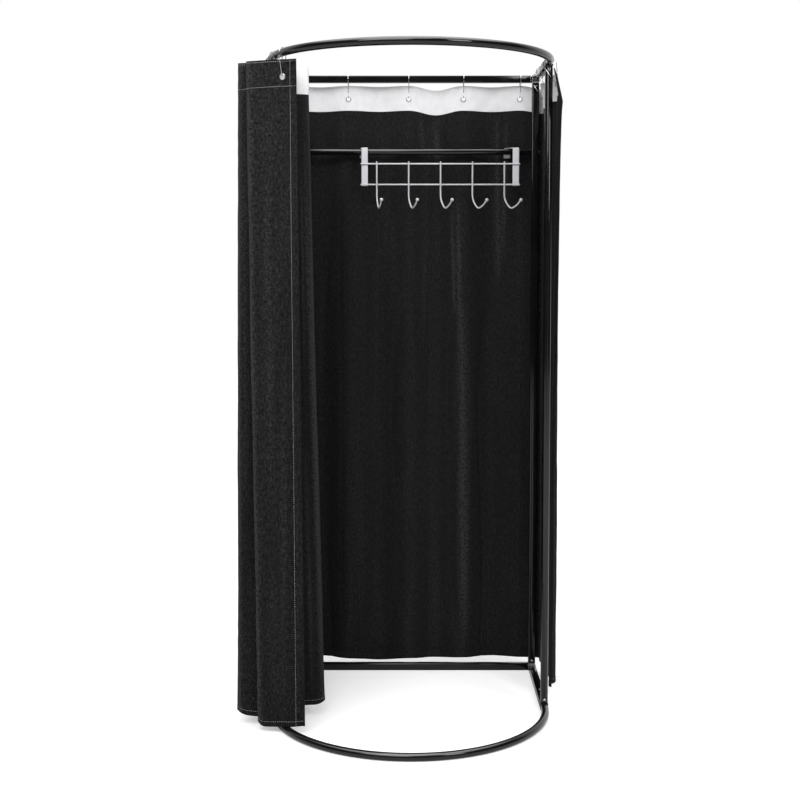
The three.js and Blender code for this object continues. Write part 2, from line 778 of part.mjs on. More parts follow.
function makeSurround() {
  const hooks = [];
  const counts = { right: 0, rear: 0, left: 0 };
  stations.forEach((station, span) => {
    if (station.kind === 'near') {
      const place = surroundHook(station);
      counts[station.side] += 1;
      hooks.push({ span, place });
      addCurtainHook(`${station.side}_curtain_hook_${counts[station.side]}`, place);
    }
  });
  makePanel('surround', surroundPoints, hooks, stations.length - 1);
}

// Front curtain, drawn back into folds at the left end of the front arc

function bunchPoint(run, out) {
  const y = -run * bunchRun;
  const railX = Math.sqrt(arcRadius ** 2 - y ** 2);
  return new THREE.Vector2(-railX - out * foldReach, y);
}

function bunchPoints(drop) {
  const start = stationPoint(stations[stations.length - 1], drop);
  start.y -= seatGap;
  const points = [start, new THREE.Vector2(start.x, start.y - bunchLeadIn)];
  for (const [run, topOut, hemOut, width] of bunchFoldShares) {
    const out = THREE.MathUtils.lerp(topOut, hemOut, drop);
    const half = width * foldTipHalf / bunchRun;
    points.push(bunchPoint(run - half, out));
    if (half > 0) {
      points.push(bunchPoint(run + half, out));
    }
  }
  const [run, topOut, hemOut] = freeEdgeShares;
  points.push(bunchPoint(run, THREE.MathUtils.lerp(topOut, hemOut, drop)));
  return points;
}

// Where the cloth passes a hook's eye, on the line between the top edge and the header's seam
function clothMiddle(topCurve, seamCurve, share, height) {
  const drop = (clothTop - height) / headerHeight;
  return topCurve.getPoint(share).lerp(seamCurve.getPoint(share), drop).setZ(height);
}

function bunchHook(run, share, isTurned) {
  const point = bunchPoint(run, 0);
  const turn = isTurned ? hookTurn * Math.PI / 180 : 0;
  const angle = Math.atan2(-point.y, -point.x) + turn;
  const outward = new THREE.Vector3(-Math.cos(angle), -Math.sin(angle), 0);
  const curves = [planCurve(bunchPoints(0)), planCurve(bunchPoints(headerShare))];
  const cloth = clothMiddle(...curves, share, clothTop - eyeletDrop);
  const eyeOut = cloth.setZ(0).sub(new THREE.Vector3(point.x, point.y, 0)).dot(outward);
  return hookPlace(point, outward, eyeOut, true);
}

function makeFrontCurtain() {
  const spans = bunchPoints(0).length - 1;
  const hooks = [];
  let span = 2;
  for (const [run, topOut, , width] of bunchFoldShares) {
    const points = width > 0 ? 2 : 1;
    if (topOut === 0) {
      const hookSpan = span + (points - 1) / 2;
      const place = bunchHook(run, hookSpan / spans, width === 0);
      hooks.push({ span: hookSpan, place });
      addCurtainHook(`front_curtain_hook_${hooks.length}`, place);
    }
    span += points;
  }
  makePanel('front', bunchPoints, hooks, spans);
}

makeFrame();
makeRack();
makeSurround();
makeFrontCurtain();

// Stand the room on the floor with the middle of its outline at the origin
const outline = new THREE.Box3().setFromObject(room);
const middle = outline.getCenter(new THREE.Vector3());
room.position.set(-middle.x, -middle.y, -outline.min.z);
room.updateMatrixWorld(true);

export default room;
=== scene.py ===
"""Portable fitting room: a D-shaped frame of gloss black tube, a black curtain on wire hooks, a hanging
bar and a rack of coat hooks. The frame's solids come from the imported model, and this script dresses them.
Lengths are metres. Plan points are measured from the middle of the half-round, seen from above."""
import json
import math

import bmesh
import bpy
import numpy as np
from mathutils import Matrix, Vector, noise


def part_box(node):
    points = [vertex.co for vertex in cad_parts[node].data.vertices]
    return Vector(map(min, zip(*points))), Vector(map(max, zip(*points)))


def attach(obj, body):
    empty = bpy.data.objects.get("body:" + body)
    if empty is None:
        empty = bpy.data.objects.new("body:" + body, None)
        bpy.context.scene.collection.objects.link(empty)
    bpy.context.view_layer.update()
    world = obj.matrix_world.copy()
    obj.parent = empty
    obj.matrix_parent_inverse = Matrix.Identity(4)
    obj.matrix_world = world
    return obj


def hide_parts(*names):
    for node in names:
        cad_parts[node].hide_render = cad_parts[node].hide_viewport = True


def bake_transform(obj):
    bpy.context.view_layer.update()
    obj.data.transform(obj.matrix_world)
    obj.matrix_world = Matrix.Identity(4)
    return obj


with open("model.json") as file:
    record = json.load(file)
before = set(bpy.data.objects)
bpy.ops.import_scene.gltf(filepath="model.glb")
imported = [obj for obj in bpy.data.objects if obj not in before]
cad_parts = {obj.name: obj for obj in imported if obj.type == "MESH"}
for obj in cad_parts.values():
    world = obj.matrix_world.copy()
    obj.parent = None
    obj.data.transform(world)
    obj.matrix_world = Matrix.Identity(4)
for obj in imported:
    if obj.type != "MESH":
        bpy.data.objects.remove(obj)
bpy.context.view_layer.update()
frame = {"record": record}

# Sizes read from the solids
arc_low, arc_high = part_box("bottom_front_arc")
TUBE = arc_high.z - arc_low.z
ARC_RADIUS = (arc_high.x - arc_low.x - TUBE) / 2
ROUND_X = (arc_high.x + arc_low.x) / 2
ROUND_Y = arc_low.y + TUBE / 2 + ARC_RADIUS
HIGH_RAIL_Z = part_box("top_front_arc")[1].z - TUBE / 2
LOW_RAIL_Z = TUBE / 2
REAR_Y = sum(v.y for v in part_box("top_rear_rail")) / 2 - ROUND_Y

# Frame details
SIDES = (("left", -ARC_RADIUS), ("right", ARC_RADIUS))
ROUND_SIDES = 40
ARC_STEPS = 120
RAIL_CORNER = 0.003
BAR_EDGE = 0.0008
STUB_REACH = 0.012
STUB_SLACK = 0.0016
STUB_SIDES = 32
SWAGED_END = 0.96
SLOT_GAP = 0.0145
SLOT_LENGTH = 0.045
SLOT_HALF = 0.0008
SLOT_DEPTH = (0.004, 0.003)
RECESS = (0.3, 0.055)

# The rounded end of a wire: how far out each ring is, and its size, as shares of the wire's
WIRE_END = ((0.35, 0.94), (0.7, 0.72), (0.95, 0.3))

# Curtain
CLOTH_TOP = 2.1
CLOTH_BOTTOM = 0.038
CLOTH_LENGTH = CLOTH_TOP - CLOTH_BOTTOM
CLOTH_THICK = 0.0016
HEM_SHARE = 0.6
HEADER = 0.085
SEAM_SHARE = HEADER / CLOTH_LENGTH
HEADER_THICK = 0.0008
SEAT_GAP = 0.0003
HEM = 0.02
SIDE_HEM = 0.028
HEM_CURL = 0.014
CURL_COLUMNS = 9
CURL_FADE = 40
SURROUND_COLUMNS = 480
BUNCH_COLUMNS = 400
EYELET_RADIUS = 0.0075
EYELET_DROP = 0.049
EYELET_SLACK = 0.0025
EYELET_SIDES = 12
EYELET_DEPTH = 0.012
FAR_OFF = 9.0

# How the front cloth would bend when drawn, used only to measure its weave: where it stays, where it follows
# the lead hook, and how far that turns
BLEND_START = 0.01
BLEND_END = -0.195
CURTAIN_TURN = math.radians(142)

# Noise in the cloth's surface: how much of it in a metre, across and down
WAVE_GRAIN = (9, 0.8)
RIDGE_GRAIN = (15, 1.1)
SMALL_GRAIN = (34, 7)
FUZZ_GRAIN = (70, 45)
FUZZ_HEIGHT = 0.0006

# How far down the waves start and how far they take to grow, and ridges and small waves as shares of a wave
WAVES_FROM = 0.03
WAVES_GROW = 0.5
RIDGE_FROM = 0.55
RIDGE_HEIGHT = 1.1
SMALL_HEIGHT = 0.2

# How tightly the cloth bends, in radians in a metre, where it is folded back on itself
SHARP_BEND = 60

# Painted light, lighter dye that stands in for light on the cloth: the crease height that is fully lit, where
# a ridge starts to get a painted highlight, the share that ridges, small waves and bends add, and how far
# down the painted light from above reaches
CREASE_HIGHLIGHT = 0.004
RIDGE_HIGHLIGHT_FROM = 0.7
RIDGE_HIGHLIGHT = 0.5
WAVE_HIGHLIGHT = 0.15
BEND_HIGHLIGHT = 1.1
TOP_LIGHT_DROP = 0.9

# Stitches
STITCH = {"Pitch": 0.006, "Stitch length": 0.0037, "Thread size": 0.0014}
SEAM_INSET = 0.004
TOP_SEAM = 0.006
STITCH_OUT = 0.0002

# Curtain hooks
HOOK_WIRE = 0.0024
HOOK_LOOP = 0.0215
HOOK_EYE = 0.006
HOOK_LENGTH = 0.063
HOOK_CLEARANCE = 0.0009
HOOK_TURN = math.radians(37)
HOOK_SIDES = 10
LAST_HOOK = 6

# An eyelet's ring, cut across: how far out and how high each corner is
RING_SECTION = (
    (0.0068, 0.0), (0.0071, 0.0014), (0.0083, 0.0022), (0.0098, 0.0018), (0.0104, 0.0009),
    (0.0104, -0.0009), (0.0098, -0.0018), (0.0083, -0.0022), (0.0071, -0.0014),
)
RING_SETBACK = 0.0006

# How far the surround curtain hangs outside the rails, at its top, its header seam and its hem
OFFSETS = {
    "near": (0.014, 0.026, 0.03),
    "far": (0.032, 0.046, 0.062),
    "corner": (0.03, 0.03, 0.03),
    "edge": (0.017, 0.036, 0.036),
    "end": (0.036, 0.036, 0.036),
}
RIGHT_HOOKS = (-0.0315, 0.44, 0.9)
REAR_HOOKS = (0.88, 0.43, -0.005, -0.485, -0.94)
LEFT_HOOKS = (0.9, 0.44)
RIGHT_EDGE = -0.135
LEFT_END = 0.03
HEM_DRAW = 0.37

# Folds of the drawn-back front curtain: place along the bunch, reach at the top and the hem, tip width
BUNCH_RUN = 0.225
BUNCH_LEAD_IN = 0.008
FOLD_REACH = 0.1
FOLD_TIP = 0.006
BUNCH_FOLDS = (
    (0.035, 0.95, 1.0, 1),
    (0.125, 0, 0, 0),
    (0.18, -1.15, -1.6, 1),
    (0.267, 0, 0, 0),
    (0.333, 0.88, 0.95, 1),
    (0.391, 0, 0, 0),
    (0.444, -0.7, -0.85, 1),
    (0.502, 0, 0, 0),
    (0.56, 1.07, 1.25, 1),
    (0.676, 0, 0, 1.6),
    (0.844, 0.99, 0.78, 1),
    (0.942, 0, 0, 0),
)
FREE_EDGE = (1.0, -0.35, -0.52)

# How far the cloth sinks below its hooks at each station, in mm: at its top edge and at its hem
SURROUND_SAGS = (
    (26, 0), (0, 4), (6, 10), (0, 3), (5, 8), (0, 0), (11, 4), (0, 0), (3, 4), (0, 3), (15, 10),
    (0, 6), (1.5, 20), (0, 7), (3, 5), (0, 0), (8, 8), (0, 0), (5, 6), (0, 0), (5, 5), (4, 0),
)
BUNCH_SAGS = (
    (2, 3), (0, 0), (3, 0), (0, 0), (2, 4), (0, 0), (3, 2), (0, 2), (1, 4), (0, 14), (4, 21), (0, 16),
)
FREE_EDGE_SAG = (0, 9)

# Creases: place across the rear wall, or along the front cloth, first and last drop, height, half width
# and drift, all in mm
REAR_CREASES = (
    (150, 400, 820, 4.5, 6, 12),
    (172, 360, 1100, 5, 8, 14),
    (190, 760, 2020, 5, 17, 12),
    (125, 90, 240, -6, 5, 3),
    (40, 90, 260, 3, 8, 8),
    (92, 95, 300, 3.5, 9, 14),
    (70, 110, 520, 1.5, 12, -18),
    (312, 90, 700, 5, 9, 8),
    (345, 100, 620, 4, 8, -10),
    (-90, 120, 700, 1.2, 14, 10),
    (-235, 90, 420, 1.2, 10, -8),
    (-60, 420, 800, 1.5, 9, 6),
    (60, 450, 900, 1.5, 9, -8),
    (-180, 1200, 1900, 1.2, 14, 12),
)
FRONT_CREASES = (
    (338, 420, 2050, 4.8, 5, 4),
    (352, 150, 1600, 4.8, 4, -6),
    (364, 240, 1000, 4, 3, 5),
    (372, 1200, 2050, 4, 5, -8),
    (1250, 300, 1500, 1.2, 14, 10),
    (1300, 800, 2050, 1.2, 12, -12),
    (975, 200, 1400, 1.5, 6, 6),
)

# Rack of coat hooks
RACK_WIRE = 0.0055
WIRE_SIDES = 16
STRAP_FRONT = 0.026
RACK_Y = REAR_Y - STRAP_FRONT - SEAT_GAP - RACK_WIRE / 2
STRAP_X = (-0.1577, 0.375)
STRAP_LEANS = (10, 35)
STRAP_WIDTH = 0.022
STRAP_THICK = 0.002
STRAP_DEPTH = 0.04
STRAP_BACK_DROP = 0.034
STRAP_BEND = 0.004
STRAP_EDGE = 0.0006
STRAP_CURL = 200
WIRE_OVERHANG = 0.004
BAR_SIZE = 0.0222
BAR_Z = 1.868
UPPER_WIRE_Z = 1.824
LOWER_WIRE_Z = 1.7515
COAT_HOOK_X = [-0.115 + 0.1122 * i for i in range(5)]
COAT_HOOK_TURNS = (15, 27, 36, 47, 58)
COAT_HOOK_REACH = 0.066
COAT_HOOK_BOTTOM = 1.669
COAT_HOOK_TIP = 1.696
COAT_HOOK_BALL = 0.012
COAT_HOOK_BEND = ((0, 0.36), (0, 0.3), (0.07, 0.16), (0.4, 0), (0.75, 0.06), (1, 0.175))

# Studio: each lamp's place, what it points at, its size and its power
LAMPS = {
    "key_lamp": ((-2.0, -5.2, 5.6), (0, 0, 1.2), (4.4, 3.0), 240),
    "fill_lamp": ((3.4, -4.4, 4.2), (0, 0, 1.0), (1.6, 2.4), 112),
    "top_lamp": ((-0.4, -2.2, 4.4), (0, 0.2, 1.6), (2.4, 1.6), 42),
}
FLOOR_REACH = 14
FLOOR_GLOW = 0.36

SETTINGS = bpy.context.scene


# Camera

def set_camera():
    camera = bpy.data.cameras.new("photo_camera")
    camera.sensor_width = 36
    camera.lens = 60.91
    camera.shift_y = -0.065
    camera.clip_end = 60
    holder = bpy.data.objects.new("photo_camera", camera)
    SETTINGS.collection.objects.link(holder)
    holder.location = (-0.0095, -4.40745, 1.51888)
    holder.rotation_euler = (math.pi / 2 - 0.07174, 0, 0)
    SETTINGS.camera = holder


# Nodes: a value is a plain one, or a pair of a node and the name of its output

def feed(tree, node, inputs):
    for key, value in inputs.items():
        if isinstance(value, tuple) and isinstance(value[0], bpy.types.Node):
            tree.links.new(value[0].outputs[value[1]], node.inputs[key])
        else:
            node.inputs[key].default_value = value


def add_node(tree, kind, inputs=None, **settings):
    made = tree.nodes.new(kind)
    for key, value in settings.items():
        setattr(made, key, value)
    feed(tree, made, inputs or {})
    return made


def mapped(tree, coordinates, scale=(1, 1, 1), turn=0.0):
    source = add_node(tree, "ShaderNodeTexCoord")
    inputs = {"Vector": (source, coordinates), "Rotation": (0, 0, turn), "Scale": scale}
    return add_node(tree, "ShaderNodeMapping", inputs), "Vector"


def grain(tree, place, scale, detail, roughness=0.5):
    inputs = {"Vector": place, "Scale": scale, "Detail": detail, "Roughness": roughness}
    return add_node(tree, "ShaderNodeTexNoise", inputs), "Fac"


def stripes(tree, place, scale, inputs=None, **settings):
    inputs = {"Vector": place, "Scale": scale, **(inputs or {})}
    return add_node(tree, "ShaderNodeTexWave", inputs, **settings), "Fac"


def spread(tree, value, low, high, first=0.3, last=0.7):
    inputs = {"Value": value, "From Min": first, "From Max": last, "To Min": low, "To Max": high}
    return add_node(tree, "ShaderNodeMapRange", inputs), "Result"


def two_tone(tree, value, dark, light):
    inputs = {"Factor": value, "A": (*dark, 1), "B": (*light, 1)}
    return add_node(tree, "ShaderNodeMix", inputs, data_type="RGBA"), "Result"


def cloudy(tree, value, dark, light):
    return two_tone(tree, spread(tree, value, 0, 1), dark, light)


def maths(tree, operation, *values):
    return add_node(tree, "ShaderNodeMath", dict(enumerate(values)), operation=operation), "Value"


def bump(tree, height, strength, distance, over=None):
    inputs = {"Height": height, "Strength": strength, "Distance": distance}
    if over:
        inputs["Normal"] = over
    return add_node(tree, "ShaderNodeBump", inputs), "Normal"


# Materials

def material(name):
    made = bpy.data.materials.new(name)
    made.use_nodes = True
    tree = made.node_tree
    return made, tree, tree.nodes["Principled BSDF"]


def grained(name, dark, light, cloud, relief, rough, fine=None, scuff=None, stretch=(1, 1, 1), others=None):
    """A cloudy colour from one grain, with relief and roughness from the same grain or from finer ones.

    A grain is its scale, detail and roughness, and relief is a strength and a height."""
    made, tree, shader = material(name)
    place = mapped(tree, "Object", stretch)
    cloud, fine, scuff = (grain(tree, place, *values) if values else None for values in (cloud, fine, scuff))
    feed(tree, shader, {
        "Base Color": cloudy(tree, cloud, dark, light),
        "Normal": bump(tree, fine or cloud, *relief),
        "Roughness": spread(tree, scuff or cloud, *rough),
        **(others or {}),
    })
    return made


def metal(name, dark, light, rough, stretch=(1, 1, 1)):
    return grained(name, dark, light, cloud=(240, 5, 0.6), relief=(0.1, 0.0001), rough=rough,
                   stretch=stretch, others={"Metallic": 1.0})


def thread(name, dark, light):
    return grained(name, dark, light, cloud=(700, 3), relief=(0.3, 0.0002), rough=(0.8, 0.8))


def denim(name, dark, light, first, last):
    """Black twill: a slanted weave, uneven yarn and a washed-out mottle, all along the cloth's own lines,
    made lighter where the cloth carries painted highlights on folds and painted light near the top.
    """
    made, tree, shader = material(name)
    place = mapped(tree, "UV")
    mottle = grain(tree, place, scale=120, detail=5, roughness=0.7)
    speck = grain(tree, place, scale=260, detail=3, roughness=0.6)
    slub = grain(tree, mapped(tree, "UV", (1, 0.3, 1)), scale=170, detail=3, roughness=0.55)
    slanted = mapped(tree, "UV", turn=math.radians(27))
    twill = stripes(tree, slanted, 140, {"Distortion": 1.2, "Detail Scale": 3.0})
    yarn = maths(tree, "MULTIPLY_ADD", speck, 0.9, maths(tree, "ADD", mottle, slub))
    # Painted highlight: the cloth's painted light attribute, broken up by the mottle, lightens the yarn
    worn = add_node(tree, "ShaderNodeAttribute", attribute_name="worn"), "Fac"
    yarn_and_painted_light = maths(tree, "MULTIPLY_ADD", worn, spread(tree, mottle, 0.2, 0.9, 0.4, 0.62), yarn)
    speckle = maths(tree, "POWER", spread(tree, yarn_and_painted_light, 0, 1, first, last), 1.7)
    woven = maths(tree, "MULTIPLY", speckle, spread(tree, twill, 0.72, 1.0, 0, 1))
    creased = grain(tree, place, scale=26, detail=5, roughness=0.6)
    creases = bump(tree, creased, strength=0.5, distance=0.004)
    feed(tree, shader, {
        "Base Color": two_tone(tree, woven, dark, light),
        "Normal": bump(tree, maths(tree, "ADD", twill, slub), strength=0.35, distance=0.0005, over=creases),
        "Roughness": spread(tree, mottle, 0.78, 0.95),
        "Sheen Weight": 0.02,
        "Sheen Roughness": 0.35,
        "Specular IOR Level": 0.04,
    })
    return made


def canvas():
    made, tree, shader = material("header_canvas")
    place = mapped(tree, "UV")
    warp, weft = (stripes(tree, place, 220, bands_direction=way) for way in "XY")
    cloud = grain(tree, place, scale=30, detail=4)
    feed(tree, shader, {
        "Base Color": cloudy(tree, cloud, (0.66, 0.66, 0.67), (0.74, 0.74, 0.75)),
        "Normal": bump(tree, maths(tree, "ADD", warp, weft), strength=0.25, distance=0.0003),
        "Roughness": 0.9,
        "Sheen Weight": 0.1,
    })
    return made


PAINT = grained(
    "gloss_black_paint", (0.003, 0.003, 0.0032), (0.006, 0.006, 0.0064), cloud=(9, 3), fine=(420, 2),
    relief=(0.06, 0.0004), scuff=(60, 5, 0.65), rough=(0.08, 0.16),
    others={"Specular IOR Level": 0.32, "Coat Weight": 0.12, "Coat Roughness": 0.06},
)
ENAMEL = grained(
    "rack_enamel", (0.48, 0.48, 0.5), (0.56, 0.56, 0.58), cloud=(14, 4), fine=(900, 2),
    relief=(0.12, 0.0002), rough=(0.4, 0.55),
)
ZINC = metal("zinc_screw", (0.34, 0.34, 0.36), (0.55, 0.55, 0.57), (0.22, 0.38))
DARK_BOLT = metal("dark_bolt", (0.03, 0.03, 0.032), (0.07, 0.07, 0.073), (0.3, 0.45))
WIRE = metal("spring_wire", (0.42, 0.42, 0.44), (0.62, 0.62, 0.64), (0.14, 0.28), (1, 1, 0.2))
EYELET_METAL = metal("eyelet_nickel", (0.26, 0.26, 0.27), (0.4, 0.4, 0.41), (0.25, 0.4))
DENIM_FACE = denim("denim_face", (0.003, 0.003, 0.003), (0.038, 0.038, 0.038), 1.08, 2.05)
DENIM_BACK = denim("denim_back", (0.005, 0.005, 0.005), (0.034, 0.034, 0.034), 0.86, 2.3)
CANVAS = canvas()
PALE_THREAD = thread("pale_thread", (0.38, 0.38, 0.385), (0.66, 0.66, 0.67))
# A darker copy of the pale thread: painted shade for stitches on the shaded inside of the surround
SHADED_THREAD = thread("dark_thread", (0.02, 0.02, 0.021), (0.045, 0.045, 0.047))


# Making and finishing meshes

def show(name, mesh, *materials):
    for made in materials:
        mesh.materials.append(made)
    shown = bpy.data.objects.new(name, mesh)
    SETTINGS.collection.objects.link(shown)
    return shown


def smooth(mesh, angle):
    mesh.polygons.foreach_set("use_smooth", [True] * len(mesh.polygons))
    mesh.set_sharp_from_angle(angle=math.radians(angle))


def plain_mesh(name, points, faces=(), edges=()):
    mesh = bpy.data.meshes.new(name)
    mesh.from_pydata([tuple(p) for p in points], edges, [tuple(int(i) for i in f) for f in faces])
    return mesh


def mesh_of(name, points, faces, angle=35):
    mesh = plain_mesh(name, points, faces)
    shell = bmesh.new()
    shell.from_mesh(mesh)
    bmesh.ops.recalc_face_normals(shell, faces=shell.faces)
    shell.to_mesh(mesh)
    shell.free()
    smooth(mesh, angle)
    return mesh


def finished(shown, angle=35):
    """The object's live modifiers turned to plain mesh."""
    depsgraph = bpy.context.evaluated_depsgraph_get()
    mesh = bpy.data.meshes.new_from_object(shown.evaluated_get(depsgraph), depsgraph=depsgraph)
    mesh.name = shown.name
    shown.modifiers.clear()
    shown.data = mesh
    smooth(mesh, angle)
    return shown


def joined(name, parts, *materials):
    """One object from several (points, faces) pairs."""
    points, faces = [], []
    for part_points, part_faces in parts:
        start = len(points)
        points.extend(part_points)
        faces.extend([[i + start for i in face] for face in part_faces])
    return show(name, mesh_of(name, points, faces), *materials)


def box_between(low, high):
    corners = [(x, y, z) for z in (low[2], high[2]) for x, y in
               ((low[0], low[1]), (high[0], low[1]), (high[0], high[1]), (low[0], high[1]))]
    return corners, ((3, 2, 1, 0), (4, 5, 6, 7), (0, 1, 5, 4), (1, 2, 6, 5), (2, 3, 7, 6), (3, 0, 4, 7))


def cut_out(shown, name, parts):
    cutter = joined(name, parts)
    cut = shown.modifiers.new(name, "BOOLEAN")
    cut.object = cutter
    cut.solver = "EXACT"
    finished(shown)
    bpy.data.objects.remove(cutter)


def placed(x, y, z):
    return np.array((ROUND_X + x, ROUND_Y + y, z))


def unit(vectors):
    return vectors / np.linalg.norm(vectors, axis=-1, keepdims=True)


def between_rows(rows, count):
    """Faces between rows of count points, each row closed on itself."""
    return [(j * count + i, j * count + k, (j + 1) * count + k, (j + 1) * count + i)
            for j in range(rows - 1) for i, k in zip(range(count), [*range(1, count), 0])]


def closed_bar(rows, count):
    first, last = range(count), range((rows - 1) * count, rows * count)
    return [*between_rows(rows, count), tuple(first), tuple(reversed(last))]


def round_ring(size, sides):
    turn = np.linspace(0, 2 * math.pi, sides, endpoint=False)
    return np.column_stack([np.cos(turn), np.sin(turn)]) * size / 2


def rail_ring(steps=6):
    """The outline of the square tube."""
    flat = TUBE / 2 - RAIL_CORNER
    turn = np.linspace(0, math.pi / 2, steps + 1)
    return np.array([
        (x * flat + RAIL_CORNER * math.cos(angle), y * flat + RAIL_CORNER * math.sin(angle))
        for quarter, (x, y) in enumerate([(1, 1), (-1, 1), (-1, -1), (1, -1)])
        for angle in turn + quarter * math.pi / 2
    ])


def swept(points, side, ring, scales):
    """A closed bar that follows points, which lie in a plane square to side."""
    points, side = np.asarray(points, float), unit(np.asarray(side, float))
    across = unit(np.cross(unit(np.gradient(points, axis=0)), side))
    grown = ring[None, :, :] * np.asarray(scales)[:, None, None]
    body = points[:, None, :] + grown[..., :1] * side + grown[..., 1:] * across[:, None, :]
    return body.reshape(-1, 3), closed_bar(len(points), len(ring))


def straight_bar(start, end, ring):
    """A bar with lightly rounded ends."""
    length, along = np.linalg.norm(end - start), unit(end - start)
    eased = 0.3 * BAR_EDGE
    places = (0, eased, BAR_EDGE, length - BAR_EDGE, length - eased, length)
    scales = [1 - cut / np.abs(ring).max() for cut in (BAR_EDGE, eased, 0, 0, eased, BAR_EDGE)]
    side = (0, 0, 1) if abs(along[2]) < 0.9 else (1, 0, 0)
    return swept([start + along * p for p in places], side, ring, scales)


def wire_along(points, side, size, sides):
    """A wire with rounded ends."""
    points = np.asarray(points, float)
    head, tail = unit(points[0] - points[1]), unit(points[-1] - points[-2])
    out, shrink = np.array(WIRE_END).T
    before = points[0] + head * size / 2 * out[::-1, None]
    after = points[-1] + tail * size / 2 * out[:, None]
    scales = [*shrink[::-1], *[1] * len(points), *shrink]
    return swept(np.vstack([before, points, after]), side, round_ring(size, sides), scales)


def nearest_stations(shares, count):
    """The station before each share of the way along, and how far past it the share lies."""
    place = np.clip(np.asarray(shares) * (count - 1), 0, count - 1 - 1e-9)
    first = place.astype(int)
    return first, place - first


def smooth_line(points, shares):
    """Points at shares of a smooth line through the given ones, as the solids' own lines run."""
    points = np.asarray(points, float)
    around = np.vstack([2 * points[0] - points[1], points, 2 * points[-1] - points[-2]])
    first, t = nearest_stations(shares, len(points))
    t = t[:, None]
    before, start, end, after = (around[first + i] for i in range(4))
    gaps = (start - before, end - start, after - end)
    r0, r1, r2 = (np.sqrt(np.linalg.norm(gap, axis=1))[:, None] for gap in gaps)
    lead = ((start - before) / r0 - (end - before) / (r0 + r1) + (end - start) / r1) * r1
    trail = ((end - start) / r1 - (after - start) / (r1 + r2) + (after - end) / r2) * r1
    square = 3 * (end - start) - 2 * lead - trail
    cube = 2 * (start - end) + lead + trail
    return start + lead * t + square * t**2 + cube * t**3


# Frame tubes

RAIL_RING = rail_ring()
TUBE_RING = round_ring(TUBE, ROUND_SIDES)


def make_tube(node, bar, cuts=()):
    tube = joined(f"{node}_tube", [bar], PAINT)
    if cuts:
        cut_out(tube, "slots", cuts)
    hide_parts(node)
    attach(tube, "frame")


def make_arc(node, height):
    turn = np.linspace(0, math.pi, ARC_STEPS + 1)
    points = [placed(-ARC_RADIUS * math.cos(a), -ARC_RADIUS * math.sin(a), height) for a in turn]
    scales = np.ones(len(points))
    scales[[0, -1]] = SWAGED_END
    make_tube(node, swept(points, (0, 0, 1), TUBE_RING, scales))
    collar = round_ring(TUBE - STUB_SLACK, STUB_SIDES)
    ends = [(placed(x, -STUB_REACH, height), placed(x, STUB_SLACK / 2, height)) for _, x in SIDES]
    stubs = joined(f"{node}_stubs", [straight_bar(*pair, collar) for pair in ends], PAINT)
    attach(stubs, "frame")


def make_cross_bar(node, ring, height):
    reach = ARC_RADIUS - TUBE / 2 - SEAT_GAP
    make_tube(node, straight_bar(placed(-reach, REAR_Y, height), placed(reach, REAR_Y, height), ring))


def make_upright(node, x, y, ring, slot_heights=()):
    front = y - TUBE / 2
    slots = [box_between(placed(x - SLOT_HALF, front - SLOT_DEPTH[0], z),
                         placed(x + SLOT_HALF, front + SLOT_DEPTH[1], z + SLOT_LENGTH)) for z in slot_heights]
    low, high = placed(x, y, TUBE + SEAT_GAP), placed(x, y, HIGH_RAIL_Z - TUBE / 2 - SEAT_GAP)
    make_tube(node, straight_bar(low, high, ring), slots)


def make_frame():
    for level, height in (("bottom", LOW_RAIL_Z), ("top", HIGH_RAIL_Z)):
        make_arc(f"{level}_front_arc", height)
        make_cross_bar(f"{level}_rear_rail", RAIL_RING, height)
        for hand, x in SIDES:
            ends = placed(x, SEAT_GAP, height), placed(x, REAR_Y + TUBE / 2, height)
            make_tube(f"{level}_{hand}_rail", straight_bar(*ends, RAIL_RING))
    make_cross_bar("hanging_bar", round_ring(BAR_SIZE, ROUND_SIDES), BAR_Z)
    slots = (TUBE + SLOT_GAP, HIGH_RAIL_Z - TUBE / 2 - SLOT_GAP - SLOT_LENGTH)
    for hand, x in SIDES:
        make_upright(f"{hand}_front_upright", x, TUBE / 2, TUBE_RING, slots)
        make_upright(f"{hand}_rear_upright", x, REAR_Y, RAIL_RING)


# Pieces set on points by a node tree

def new_tree(name, entries, result):
    """A tree with an input for each label, kind of socket and first value, and its input node."""
    tree = bpy.data.node_groups.new(name, "GeometryNodeTree")
    for label, kind, value in entries:
        socket = tree.interface.new_socket(label, in_out="INPUT", socket_type=f"NodeSocket{kind}")
        if value is not None:
            socket.default_value = value
    tree.interface.new_socket(result, in_out="OUTPUT", socket_type="NodeSocketGeometry")
    return tree, tree.nodes.new("NodeGroupInput")


def facing_turn(tree, first=None, **settings):
    """Turns Z to the point's own facing, after a first turn where one is given."""
    facing = add_node(tree, "GeometryNodeInputNamedAttribute", {"Name": "facing"}, data_type="FLOAT_VECTOR")
    inputs = {"Vector": (facing, "Attribute"), **(first or {})}
    return add_node(tree, "FunctionNodeAlignRotationToVector", inputs, axis="Z", **settings), "Rotation"


def end_tree(tree, finish, result, inputs):
    """Sets the instance on each point, makes it real and gives it its material."""
    set_on = add_node(tree, "GeometryNodeInstanceOnPoints", inputs)
    real = add_node(tree, "GeometryNodeRealizeInstances", {"Geometry": (set_on, "Instances")})
    dressed = add_node(tree, "GeometryNodeSetMaterial", {"Geometry": (real, "Geometry"), "Material": finish})
    add_node(tree, "NodeGroupOutput", {result: (dressed, "Geometry")})
    return tree


def instance_tree(name, finish):
    """Sets a template on each point, turned to face the point's own way."""
    entries = (("Places", "Geometry", None), ("Template", "Object", None), ("Size", "Float", 1.0))
    tree, start = new_tree(name, entries, "Made")
    template = add_node(tree, "GeometryNodeObjectInfo", {"Object": (start, "Template"), "As Instance": True})
    return end_tree(tree, finish, "Made", {
        "Points": (start, "Places"),
        "Instance": (template, "Geometry"),
        "Rotation": facing_turn(tree),
        "Scale": (start, "Size"),
    })


